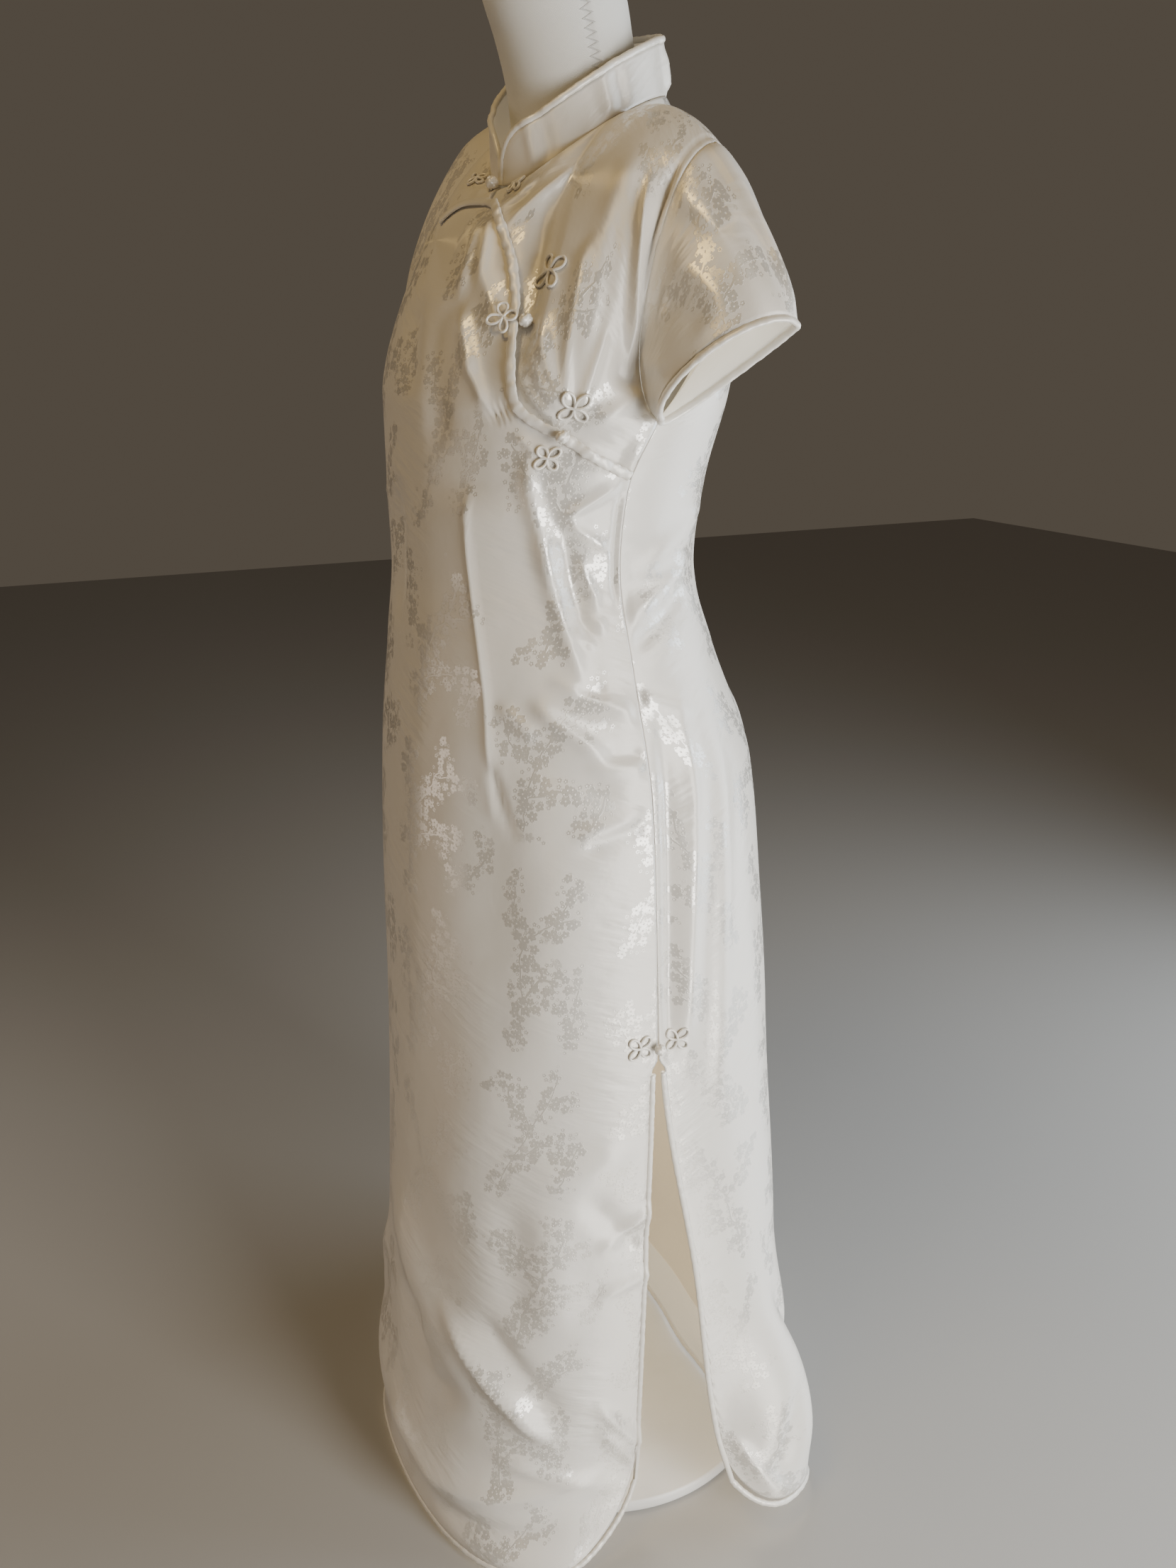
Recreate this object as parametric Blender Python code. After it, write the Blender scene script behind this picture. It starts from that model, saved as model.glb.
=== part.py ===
"""A floor-length brocade cheongsam with cap sleeves, worn by a limbless dress form on a pole and a round base.

Metres, +Z up. The front of the dress faces -Y and the wearer's left is +X. The origin is the centre of
the base's underside. Each panel of cloth is one surface in two parameters: across, from -1 at the
wearer's right edge to 1 at the left edge, and up, the height along the cloth from the hem.
"""

import math

import bpy
import numpy as np

# Sizes of the cloth
WALL = 0.0015
SEAM_GAP = 0.0004
SHOULDER_GAP = 0.0018
PIPING_RADIUS = 0.0025
PIPING_STEP = PIPING_RADIUS + SEAM_GAP
HEM_Z = 0.009
HEM_CORNER = 0.095
BASE_CLEARANCE = 0.013
SLIT_TOP_Z = 0.555
SLIT_EASE = 0.012
UNDERARM_Z = 1.118
BODICE_RISE = 0.190
TOP = UNDERARM_Z - HEM_Z + BODICE_RISE

# Neckline: a tilted ring, high at the nape and low at the throat
NECK_CENTRE = np.array([0.0, -0.031, 1.322])
NECK_HALF_WIDTH = 0.065
NECK_BACKWARD = np.array([0.0, 0.075, 0.038])
NECK_SADDLE = 0.020
NECK_ACROSS = 0.42
SHOULDER_RISE = 0.014
SHOULDER_TIP = np.array([0.156, -0.016, 1.322])

# The form's shoulders are turned and tilted a little against its hips, and the bodice goes with them
TURN_CENTRE = np.array([0.0, -0.030, 0.0])
TURN = 0.17
TILT = 0.11
TURN_LOW_Z = 1.00
TURN_HIGH_Z = 1.28

# Stand collar
COLLAR_WALL = 0.0022
COLLAR_FRONT_HEIGHT = 0.036
COLLAR_SIDE_HEIGHT = 0.033
COLLAR_BACK_HEIGHT = 0.041
COLLAR_FRONT_GAP = 0.007
COLLAR_CORNER = 0.026

# Cap sleeves: the hem is an oval from its underarm end to its overarm end
SLEEVE_UNDER = np.array([0.183, -0.062, 1.122])
SLEEVE_OVER = np.array([0.245, -0.003, 1.203])
SLEEVE_FRONT_BULGE = np.array([0.006, -0.026, 0.020])
SLEEVE_BACK_BULGE = np.array([-0.018, 0.010, -0.010])
SLEEVE_GAP = 0.0008
SLEEVE_PIPING_STEP = 0.0036
SLEEVE_LEAVE = np.array([0.060, 0.000, -0.020])
SLEEVE_ARRIVE = np.array([0.034, 0.014, -0.110])

# Underlap: how far it reaches under the front and how far it lies below it
UNDERLAP_REACH = 0.018
UNDERLAP_DROP = 0.0050
OPENING_PIPING_LIFT = 0.0008

# Frogs
CORD_RADIUS = 0.0012
PETAL_REACH = 0.0155
BALL_RADIUS = 0.0052
FROG_LIFT = CORD_RADIUS + 0.0007

# Side zip, behind the left side seam
ZIP_LOW_Z = 0.865
ZIP_HIGH_Z = 1.05
ZIP_HALF_WIDTH = 0.010
ZIP_WALL = 0.001
ZIP_INSET = 0.0029

# Dress form and its stand
BASE_RADIUS = 0.190
BASE_HEIGHT = 0.015
POLE_RADIUS = 0.0125
FORM_BOTTOM_Z = 0.640

# Sections of the worn cloth. "half" is the distance from the middle to the panel's edge in X, "mid_y"
# the panel's middle, "edge_y" its edge, and "round" the squareness: 1 is an ellipse, less is boxier.
FRONT_COLUMNS = ("z", "half", "mid_y", "edge_y", "round")
FRONT_SECTIONS = (
    (0.000, 0.226, -0.262, -0.072, 0.55),
    (0.035, 0.210, -0.260, -0.063, 0.56),
    (0.100, 0.192, -0.254, -0.052, 0.58),
    (0.310, 0.194, -0.238, -0.048, 0.66),
    (0.555, 0.196, -0.226, -0.045, 0.76),
    (0.686, 0.195, -0.223, -0.048, 0.80),
    (0.808, 0.190, -0.217, -0.052, 0.84),
    (0.920, 0.167, -0.206, -0.060, 0.88),
    (0.994, 0.152, -0.199, -0.065, 0.88),
    (1.060, 0.158, -0.199, -0.066, 0.86),
    (1.118, 0.166, -0.198, -0.052, 0.84),
)
BACK_SECTIONS = (
    (0.000, 0.256, 0.100, 0.050, 0.52),
    (0.035, 0.248, 0.106, 0.034, 0.54),
    (0.130, 0.226, 0.138, 0.012, 0.60),
    (0.310, 0.210, 0.160, -0.006, 0.68),
    (0.555, 0.196, 0.150, -0.0425, 0.76),
    (0.600, 0.196, 0.146, -0.0450, 0.77),
    (0.686, 0.195, 0.136, -0.048, 0.80),
    (0.808, 0.190, 0.120, -0.052, 0.84),
    (0.920, 0.167, 0.078, -0.060, 0.90),
    (0.994, 0.152, 0.060, -0.065, 0.92),
    (1.060, 0.158, 0.066, -0.066, 0.90),
    (1.118, 0.166, 0.074, -0.052, 0.88),
)

# Bodice tangents: how the cloth leaves the underarm level and how it arrives at the shoulder or neck
TANGENT_COLUMNS = ("across", "leave_y", "leave_z", "arrive_y", "arrive_z")
FRONT_TANGENTS = (
    (0.00, 0.000, 0.130, 0.160, 0.050),
    (0.42, -0.010, 0.150, 0.150, 0.030),
    (0.80, -0.070, 0.150, 0.160, 0.020),
    (1.00, -0.130, 0.120, 0.160, 0.030),
)
BACK_TANGENTS = (
    (0.00, 0.020, 0.240, -0.060, 0.150),
    (0.42, 0.050, 0.250, -0.150, 0.050),
    (0.80, 0.110, 0.200, -0.180, 0.020),
    (1.00, 0.150, 0.130, -0.150, 0.030),
)

# The curved opening, from the throat to the left side seam
OPENING_COLUMNS = ("across", "up")
OPENING = (
    (0.000, TOP),
    (0.050, 1.276),
    (0.138, 1.254),
    (0.200, 1.236),
    (0.275, 1.215),
    (0.350, 1.196),
    (0.440, 1.168),
    (0.495, 1.143),
    (0.545, 1.120),
    (0.600, 1.108),
    (0.725, 1.094),
    (0.825, 1.081),
    (1.000, 1.062),
)

# The binding of the opening starts on the wearer's right of the throat, lying on the front
BINDING_START = ((-0.130, 1.240), (-0.095, 1.254), (-0.055, 1.265), (-0.010, 1.2695), (0.050, 1.268), (0.095, 1.261))

# Large folds: soft ridges (depth above 0) and troughs, each along a straight line on its panel
FOLD_COLUMNS = ("panel", "across_a", "up_a", "across_b", "up_b", "width", "depth")
FOLDS = (
    ("front", -0.10, 0.360, 0.50, 0.150, 0.032, 0.010),
    ("front", 0.05, 0.250, 0.40, 0.140, 0.030, -0.008),
    ("front", -0.60, 0.100, 0.75, 0.055, 0.035, 0.010),
    ("front", -0.55, 0.300, -0.70, 0.000, 0.040, 0.013),
    ("front", -0.25, 0.120, -0.32, 0.000, 0.030, -0.008),
    ("front", 0.95, 0.480, 0.60, 0.430, 0.020, 0.004),
    ("front", -0.72, 1.150, -0.62, 1.280, 0.045, 0.009),
    ("front", 0.80, 1.130, 0.74, 1.260, 0.022, 0.006),
    ("back", 0.60, 0.300, 0.74, 0.000, 0.052, 0.054),
    ("back", -0.60, 0.300, -0.72, 0.000, 0.052, 0.038),
    ("back", 0.10, 0.380, 0.05, 0.000, 0.045, -0.006),
    ("back", 0.72, 0.900, 0.80, 0.450, 0.012, 0.004),
)

# Sections of the dress form, in plan an ellipse round its own middle
FORM_COLUMNS = ("z", "half", "front_y", "back_y")
FORM_SECTIONS = (
    (FORM_BOTTOM_Z, 0.150, -0.160, 0.062),
    (0.760, 0.166, -0.176, 0.080),
    (0.840, 0.164, -0.172, 0.080),
    (0.920, 0.142, -0.150, 0.052),
    (0.990, 0.126, -0.142, 0.030),
    (1.060, 0.138, -0.168, 0.034),
    (1.120, 0.148, -0.180, 0.046),
    (1.170, 0.148, -0.170, 0.050),
    (1.215, 0.146, -0.140, 0.045),
    (1.250, 0.145, -0.114, 0.036),
    (1.277, 0.143, -0.096, 0.028),
    (1.296, 0.137, -0.084, 0.0236),
    (1.310, 0.114, -0.074, 0.010),
    (1.322, 0.080, -0.064, 0.004),
    (1.332, 0.050, -0.060, 0.000),
    (1.345, 0.020, -0.050, -0.020),
)

# The neck rises out of the shoulders, leaning forward
NECK_SECTIONS = (
    (1.250, 0.040, -0.070, 0.010),
    (1.285, 0.050, -0.082, 0.018),
    (1.345, 0.054, -0.088, 0.020),
    (1.400, 0.053, -0.100, 0.008),
    (1.430, 0.053, -0.110, -0.002),
    (1.462, 0.052, -0.120, -0.014),
    (1.474, 0.046, -0.117, -0.025),
    (1.480, 0.032, -0.106, -0.040),
)

# Tables and curves


def read(table, names, name, at):
    """One column of a table at any key, on a monotone cubic curve through its rows."""
    keys = np.array([row[0] for row in table])
    values = np.array([row[names.index(name)] for row in table])
    steps = np.diff(keys)
    slopes = np.diff(values) / steps
    tangents = np.zeros(len(keys))
    tangents[0] = slopes[0]
    tangents[-1] = slopes[-1]
    same_way = slopes[:-1] * slopes[1:] > 0
    middle = np.zeros(len(keys) - 2)
    middle[same_way] = (
        2 * slopes[:-1][same_way] * slopes[1:][same_way] / (slopes[:-1] + slopes[1:])[same_way]
    )
    tangents[1:-1] = middle
    at = np.clip(np.asarray(at, float), keys[0], keys[-1])
    i = np.clip(np.searchsorted(keys, at, side="right") - 1, 0, len(keys) - 2)
    t = (at - keys[i]) / steps[i]
    return hermite(values[i], values[i + 1], tangents[i] * steps[i], tangents[i + 1] * steps[i], t)


def hermite(start, end, leave, arrive, t):
    """The cubic from start to end with the given tangents."""
    return (
        (2 * t**3 - 3 * t**2 + 1) * start
        + (3 * t**2 - 2 * t**3) * end
        + (t**3 - 2 * t**2 + t) * leave
        + (t**3 - t**2) * arrive
    )


def smoothstep(low, high, x):
    """0 below low, 1 above high, and an S-curve between."""
    t = np.clip((x - low) / (high - low), 0, 1)
    return t * t * (3 - 2 * t)


def unit(vectors):
    """Vectors made one metre long."""
    return vectors / np.maximum(np.linalg.norm(vectors, axis=-1, keepdims=True), 1e-12)


# The cloth surface

SECTIONS = {"front": FRONT_SECTIONS, "back": BACK_SECTIONS}
TANGENTS = {"front": FRONT_TANGENTS, "back": BACK_TANGENTS}
SIDE = {"front": -1.0, "back": 1.0}
ARC_SAMPLES = np.linspace(0, 1, 160) * math.pi / 2


def section(panel, z):
    """Points of one level from the panel's middle to its edge, and the distance along them."""
    half, mid_y, edge_y, roundness = (
        float(read(SECTIONS[panel], FRONT_COLUMNS, name, z)) for name in FRONT_COLUMNS[1:]
    )
    x = half * np.sin(ARC_SAMPLES)
    y = edge_y + (mid_y - edge_y) * np.abs(np.cos(ARC_SAMPLES)) ** roundness
    along = np.concatenate([[0], np.cumsum(np.hypot(np.diff(x), np.diff(y)))])
    return x, y, along


def girth(panel, z):
    """The distance round the panel from its middle to its edge."""
    return section(panel, z)[2][-1]


def skirt_point(panel, across, z):
    """A point below the underarm: across is the share of the way from the middle to the edge."""
    x, y, along = section(panel, z)
    at = abs(across) * along[-1]
    seam = SIDE[panel] * SEAM_GAP / 2
    return np.array([math.copysign(np.interp(at, along, x), across), np.interp(at, along, y) + seam, z])


def neck_point(turn):
    """A point of the neckline: turn is 0 at the nape and pi at the throat, positive on the left."""
    return (
        NECK_CENTRE
        + np.array([NECK_HALF_WIDTH * math.sin(turn), 0, NECK_SADDLE * math.sin(turn) ** 2])
        + NECK_BACKWARD * math.cos(turn)
    )


def top_point(panel, across):
    """A point where the panel ends above: on the neckline, then along the shoulder seam."""
    share = abs(across) / NECK_ACROSS
    if share <= 1:
        quarter = share * math.pi / 2
        turn = quarter if panel == "back" else math.pi - quarter
        point = neck_point(turn)
    else:
        along = (share - 1) / (1 / NECK_ACROSS - 1)
        start = neck_point(math.pi / 2)
        point = start + (SHOULDER_TIP - start) * along
        point[2] += SHOULDER_RISE * math.sin(math.pi * along)
    point[0] = math.copysign(point[0], across)
    point[1] += SIDE[panel] * (SEAM_GAP if share < 0.8 else SHOULDER_GAP) / 2
    return point


def bodice_point(panel, across, rise):
    """A point above the underarm: rise goes from 0 there to 1 at the shoulder or neck."""
    start = skirt_point(panel, across, UNDERARM_Z)
    end = top_point(panel, across)
    leave_y, leave_z, arrive_y, arrive_z = (
        float(read(TANGENTS[panel], TANGENT_COLUMNS, name, abs(across))) for name in TANGENT_COLUMNS[1:]
    )
    leave = np.array([0, leave_y, leave_z])
    arrive = np.array([0, arrive_y, arrive_z])
    inward = -0.05 * smoothstep(0.7, 1.0, abs(across)) * math.copysign(1, across)
    leave[0] = inward
    return hermite(start, end, leave, arrive, rise)


def fold_depth(panel, across, up):
    """How far the large folds move the cloth out at a point of the panel."""
    reach = 0.29
    depth = 0.0
    for row in FOLDS:
        name, across_a, up_a, across_b, up_b, width, height = row
        if name != panel:
            continue
        a = np.array([across_a * reach, up_a])
        b = np.array([across_b * reach, up_b])
        p = np.array([across * reach, up])
        share = np.clip(np.dot(p - a, b - a) / np.dot(b - a, b - a), 0, 1)
        away = np.linalg.norm(p - a - share * (b - a)) / width
        fade = smoothstep(0, 0.8, share) if up_b == 0 else smoothstep(0, 0.3, share) * smoothstep(0, 0.3, 1 - share)
        depth += height * fade * math.exp(-away * away)
    return depth


def base_point(panel, across, up):
    """A point of the cloth before its folds."""
    z = HEM_Z + up
    if z <= UNDERARM_Z:
        return skirt_point(panel, across, z)
    return bodice_point(panel, across, (z - UNDERARM_Z) / BODICE_RISE)


def base_normal(panel, across, up):
    """The outward direction of the cloth at a point."""
    low, high = max(up - 0.004, 0.0), min(up + 0.004, TOP)
    left, right = min(across + 0.01, 0.999), max(across - 0.01, -0.999)
    rising = base_point(panel, across, high) - base_point(panel, across, low)
    going = base_point(panel, left, up) - base_point(panel, right, up)
    return unit(np.cross(going, rising)) * -SIDE[panel]


def cloth_point(panel, across, up, out=0.0):
    """A point of the cloth's outer face, moved out by a distance."""
    out = out + fold_depth(panel, across, up)
    point = base_point(panel, across, up)
    if out:
        point = point + base_normal(panel, across, up) * out
    return point


def slit_limit(panel, up):
    """The panel's edge: at the side seam above the slit, and a piping's width inside it below."""
    z = HEM_Z + up
    cut = PIPING_STEP * 2 * smoothstep(SLIT_TOP_Z + SLIT_EASE, SLIT_TOP_Z, z)
    return 1 - cut / girth(panel, min(z, UNDERARM_Z))


def hem_up(panel, across):
    """The height of the hem: level, lifted over the base behind, and rising round the corner to the slit."""
    resting = BASE_CLEARANCE * smoothstep(0.78, 0.66, abs(across)) if panel == "back" else 0.0
    inside = (1 - abs(across)) * girth(panel, HEM_Z)
    if inside >= HEM_CORNER:
        return resting
    return HEM_CORNER - math.sqrt(HEM_CORNER**2 - (HEM_CORNER - inside) ** 2)


def posed(points):
    """Points turned and tilted with the form's shoulders, fully above the chest and not below the waist."""
    points = np.asarray(points, float)
    share = smoothstep(TURN_LOW_Z, TURN_HIGH_Z, points[:, 2])
    angle = TURN * share
    x, y = points[:, 0] - TURN_CENTRE[0], points[:, 1] - TURN_CENTRE[1]
    turned_x = TURN_CENTRE[0] + x * np.cos(angle) - y * np.sin(angle)
    turned_y = TURN_CENTRE[1] + x * np.sin(angle) + y * np.cos(angle)
    return np.column_stack([turned_x, turned_y, points[:, 2] - TILT * share * points[:, 0]])


# Making objects


def material(name, colour, roughness, metallic=0.0):
    """A plain Principled material, made once."""
    made = bpy.data.materials.get(name)
    if made is None:
        made = bpy.data.materials.new(name)
        made.use_nodes = True
        shader = made.node_tree.nodes["Principled BSDF"]
        shader.inputs["Base Color"].default_value = (*colour, 1)
        shader.inputs["Roughness"].default_value = roughness
        shader.inputs["Metallic"].default_value = metallic
    return made


def brocade():
    return material("ivory_brocade", (0.80, 0.76, 0.68), 0.38)


def satin():
    return material("ivory_satin", (0.84, 0.80, 0.72), 0.42)


def jersey():
    return material("white_jersey", (0.72, 0.70, 0.64), 0.90)


def painted():
    return material("white_paint", (0.80, 0.79, 0.76), 0.45)


def link(name, data, finish):
    """One named object with its material."""
    made = bpy.data.objects.new(name, data)
    data.materials.append(finish)
    bpy.context.scene.collection.objects.link(made)
    return made


def sheet(name, rows, thickness, finish, closed=False):
    """Cloth from rows of outer points: a grid of quads, given its wall by a Solidify modifier."""
    count = len(rows[0])
    points = posed([p for row in rows for p in row])
    wrap = count if closed else count - 1
    faces = [
        (i * count + j, i * count + (j + 1) % count, (i + 1) * count + (j + 1) % count, (i + 1) * count + j)
        for i in range(len(rows) - 1)
        for j in range(wrap)
    ]
    mesh = bpy.data.meshes.new(name)
    mesh.from_pydata(points.tolist(), [], faces)
    mesh.shade_smooth()
    made = link(name, mesh, finish)
    wall = made.modifiers.new("wall", "SOLIDIFY")
    wall.thickness = thickness
    wall.offset = -1
    wall.use_even_offset = False
    return made


def tube(name, points, radius, finish, closed=False, sides=2):
    """A round cord or piping along points."""
    curve = bpy.data.curves.new(name, "CURVE")
    curve.dimensions = "3D"
    curve.bevel_depth = radius
    curve.bevel_resolution = sides
    curve.use_fill_caps = True
    spline = curve.splines.new("POLY")
    spline.points.add(len(points) - 1)
    for place, point in zip(spline.points, posed(points)):
        place.co = (*point, 1)
    spline.use_cyclic_u = closed
    return link(name, curve, finish)


def turned(name, profile, sides, finish):
    """A solid turned round Z from (radius, height) pairs, with flat ends."""
    rings = [
        [(r * math.cos(a), r * math.sin(a), z) for a in np.linspace(0, 2 * math.pi, sides, endpoint=False)]
        for r, z in profile
    ]
    return stacked(name, rings, finish)


def stacked(name, rings, finish):
    """A closed solid from a stack of rings, each counter-clockwise seen from above."""
    count = len(rings[0])
    points = posed([p for ring in rings for p in ring]).tolist()
    faces = [
        (i * count + j, i * count + (j + 1) % count, (i + 1) * count + (j + 1) % count, (i + 1) * count + j)
        for i in range(len(rings) - 1)
        for j in range(count)
    ]
    faces.append(tuple(reversed(range(count))))
    faces.append(tuple(range(len(points) - count, len(points))))
    mesh = bpy.data.meshes.new(name)
    mesh.from_pydata(points, [], faces)
    mesh.shade_smooth()
    return link(name, mesh, finish)


# Panels: each grid is a list of rows of (across, up) places, from the hem or lower edge to the top

EDGE_STEPS = (0.0, 0.012, 0.035, 0.075, 0.14, 0.23)
HALF_COLUMNS = [0, 0.06, 0.12, 0.18, 0.24, 0.30, 0.36, 0.42, 0.53, 0.65] + [1 - step for step in EDGE_STEPS]
OPENING_COLUMNS_LEFT = [0, 0.04, 0.085, 0.14, 0.20, 0.26, 0.32, 0.38, 0.43, 0.47, 0.50, 0.53, 0.56, 0.60, 0.67]
SKIRT_ROWS = (0, 0.045, 0.10, 0.17, 0.25, 0.34, 0.42, 0.4923, 0.5088, 0.59, 0.68, 0.77, 0.85, 0.925)
SPLIT_UP = 1.005
CHEST_STEPS = 3
RISE_STEPS = 10
UNDERARM_UP = UNDERARM_Z - HEM_Z


def opening_up(across):
    """The height of the opening's edge; right of the throat the panel goes up to its top."""
    return TOP if across <= 0 else float(read(OPENING, OPENING_COLUMNS, "up", across))


def both_sides(left):
    """Columns for both halves of a panel, the right half always the same."""
    return sorted({round(a, 4) for a in [-a for a in HALF_COLUMNS] + left + HALF_COLUMNS[-6:]})


def steps_between(low, high, count):
    """Heights that climb from low to just under high in equal steps."""
    return [low + (high - low) * i / count for i in range(count)]


def panel_grid(panel, columns, top_of):
    """Places of a whole panel: skirt, chest up to the underarm level, then up to top_of(across)."""
    ladders = []
    for across in columns:
        low = hem_up(panel, across)
        top = top_of(across)
        split = UNDERARM_UP if top == TOP else SPLIT_UP + (top - SPLIT_UP) * 0.36
        ladder = [low + (SPLIT_UP - low) * share for share in SKIRT_ROWS]
        ladder += steps_between(SPLIT_UP, split, CHEST_STEPS)
        ladder += steps_between(split, top, RISE_STEPS) + [top]
        ladders.append(ladder)
    return [
        [(across * slit_limit(panel, ladder[i]), ladder[i]) for across, ladder in zip(columns, ladders)]
        for i in range(len(ladders[0]))
    ]


def outer_rows(panel, grid, drop=None):
    """The outer points of a grid's places, dropped below the cloth where a drop is given."""
    return [[cloth_point(panel, a, u, -drop(a, u) if drop else 0.0) for a, u in row] for row in grid]


def front_grid():
    return panel_grid("front", both_sides(OPENING_COLUMNS_LEFT), opening_up)


def back_grid():
    return panel_grid("back", both_sides(HALF_COLUMNS), lambda across: TOP)


def make_front():
    return sheet("front", outer_rows("front", front_grid()), WALL, brocade())


def make_back():
    return sheet("back", [row[::-1] for row in outer_rows("back", back_grid())], WALL, brocade())


def underlap_drop(across, up):
    """How far the underlap lies below the cloth's surface: full under the front, none beyond its edge."""
    above = up - opening_up(across)
    slope = (opening_up(across + 0.02) - opening_up(across - 0.02)) / (0.04 * 0.26) if across > 0.02 else 0.0
    return UNDERLAP_DROP * (1 - smoothstep(0.010, 0.040, above / math.hypot(1, slope)))


def make_underlap():
    """The upper left front, which lies under the front along the opening."""
    columns = sorted({round(a, 4) for a in [-0.06, 0.475, 0.59] + HALF_COLUMNS})
    ladders = []
    for across in columns:
        low = min(opening_up(min(across + 0.06, 1.0)) - UNDERLAP_REACH, TOP - 0.045)
        split = max(UNDERARM_UP, low + 0.030)
        ladders.append(steps_between(low, split, CHEST_STEPS) + steps_between(split, TOP, RISE_STEPS) + [TOP])
    grid = [[(a, ladder[i]) for a, ladder in zip(columns, ladders)] for i in range(len(ladders[0]))]
    return sheet("underlap", outer_rows("front", grid, underlap_drop), WALL, brocade())


# Piping


def edge_path(panel, places, step=PIPING_STEP, lift=0.0):
    """A line beside a panel's edge: places are (across, up) along it, step is how far outside it runs."""
    outer = np.array([cloth_point(panel, a, u) for a, u in places])
    normals = np.array([base_normal(panel, a, u) for a, u in places])
    along = unit(np.gradient(outer, axis=0))
    outward = unit(np.cross(along, normals))
    return outer + outward * np.reshape(step, (-1, 1)) + normals * (np.reshape(lift, (-1, 1)) - WALL / 2)


def make_hem_piping(panel):
    """The binding down one slit edge, along the hem and up the other, through the panel's own edge places."""
    grid = front_grid() if panel == "front" else back_grid()
    slit = [i for i, row in enumerate(grid) if HEM_Z + row[0][1] < SLIT_TOP_Z and i > 0]
    start = (slit_limit(panel, SLIT_TOP_Z - HEM_Z), SLIT_TOP_Z - HEM_Z - 0.003)
    right = [(-start[0], start[1])] + [grid[i][0] for i in reversed(slit)]
    left = [grid[i][-1] for i in slit] + [start]
    places = right + grid[0] + left
    if panel == "back":
        places = places[::-1]
    return tube(f"piping_{panel}_hem", edge_path(panel, places), PIPING_RADIUS, satin(), sides=1)


def make_opening_piping():
    """The binding of the opening: it starts lying on the front, and from the throat follows the edge."""
    columns = [a for a in both_sides(OPENING_COLUMNS_LEFT) if a > 0.10]
    edge = [(a, opening_up(a)) for a in columns]
    edge[-1] = (0.988, opening_up(0.988))
    places = edge[::-1] + list(BINDING_START)[::-1]
    resting = np.array([0.0] * len(edge) + [0.5] + [1.0] * (len(BINDING_START) - 1))
    lift = WALL / 2 + OPENING_PIPING_LIFT + PIPING_RADIUS + resting * 0.0006
    path = edge_path("front", places, PIPING_STEP * (1 - resting), lift)
    return tube("piping_opening", path, PIPING_RADIUS, satin(), sides=1)


# Collar


def collar_rise(turn):
    """The collar's height: lower at the throat, where its front corners are rounded off."""
    share = (1 - math.cos(turn)) / 2
    ends = COLLAR_BACK_HEIGHT + (COLLAR_FRONT_HEIGHT - COLLAR_BACK_HEIGHT) * share
    full = ends - (ends - COLLAR_SIDE_HEIGHT) * math.sin(turn) ** 2
    inside = (collar_end() - abs(turn)) * 0.075
    if inside >= COLLAR_CORNER:
        return full
    return full - COLLAR_CORNER + math.sqrt(COLLAR_CORNER**2 - (COLLAR_CORNER - inside) ** 2)


def collar_end():
    """The turn at which the collar's front edge stands."""
    return math.pi - COLLAR_FRONT_GAP / 2 / NECK_HALF_WIDTH


def collar_point(turn, height, out=0.0):
    """A point of the collar's outer face, which leans in a little at the nape."""
    foot = neck_point(turn)
    foot[2] += SEAM_GAP * 1.5
    lean = np.array([-0.02 * math.sin(turn), -0.16 * (1 + math.cos(turn)) / 2, 1.0])
    away = unit(np.array([math.sin(turn) / NECK_HALF_WIDTH, math.cos(turn) / 0.0715, 0.0]))
    return foot + lean * height + away * out


def collar_turns():
    """Where the collar's columns stand: over the panels' own columns, so their chords agree."""
    end = collar_end()
    shares = [a / NECK_ACROSS * math.pi / 2 for a in HALF_COLUMNS if a <= NECK_ACROSS]
    half = sorted({round(t, 5) for t in shares + [math.pi - t for t in shares if t > 0.1]})
    half += [end - 0.06, end]
    return [-t for t in half[:0:-1]] + half


def make_collar():
    steps = 3
    rows = [[collar_point(t, collar_rise(t) * i / steps) for t in collar_turns()] for i in range(steps + 1)]
    return sheet("collar", [row[::-1] for row in rows], COLLAR_WALL, brocade())


def make_collar_piping():
    """The binding up one front edge of the collar, over its top and down the other."""
    turns = collar_turns()
    end = turns[-1]
    tops = np.array([collar_point(t, collar_rise(t), -COLLAR_WALL / 2) for t in turns])
    rise = collar_rise(end)
    down = [np.array(collar_point(end, rise * share, -COLLAR_WALL / 2)) for share in (0.66, 0.36, 0.1)]
    up = [np.array(collar_point(-end, rise * share, -COLLAR_WALL / 2)) for share in (0.1, 0.36, 0.66)]
    path = np.array(up + list(tops) + down)
    away = np.array([unit(np.array([math.sin(t), math.cos(t), 0])) for t in [-end] * 3 + list(turns) + [end] * 3])
    along = unit(np.gradient(path, axis=0))
    outward = unit(np.cross(along, away))
    if outward[len(outward) // 2][2] < 0:
        outward = -outward
    return tube("piping_collar", path + outward * PIPING_STEP, PIPING_RADIUS, satin(), sides=1)


# Sleeves


def armhole_point(station):
    """A point of the left armhole at one of its stations, counted from the underarm up the front."""
    count = 2 * RISE_STEPS
    rise = min(station, count - station) / RISE_STEPS
    up = UNDERARM_UP + rise * BODICE_RISE
    front, back = (cloth_point(panel, 1.0, up) for panel in ("front", "back"))
    if station in (0, RISE_STEPS):
        return (front + back) / 2
    return front if station < RISE_STEPS else back


def sleeve_hem_point(share):
    """A point of the left sleeve's hem, on an oval with a fuller front."""
    angle = 2 * math.pi * share
    middle = (SLEEVE_UNDER + SLEEVE_OVER) / 2
    reach = (SLEEVE_UNDER - SLEEVE_OVER) / 2
    bulge = SLEEVE_FRONT_BULGE if share <= 0.5 else -SLEEVE_BACK_BULGE
    return middle + reach * math.cos(angle) + bulge * math.sin(angle)


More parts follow.
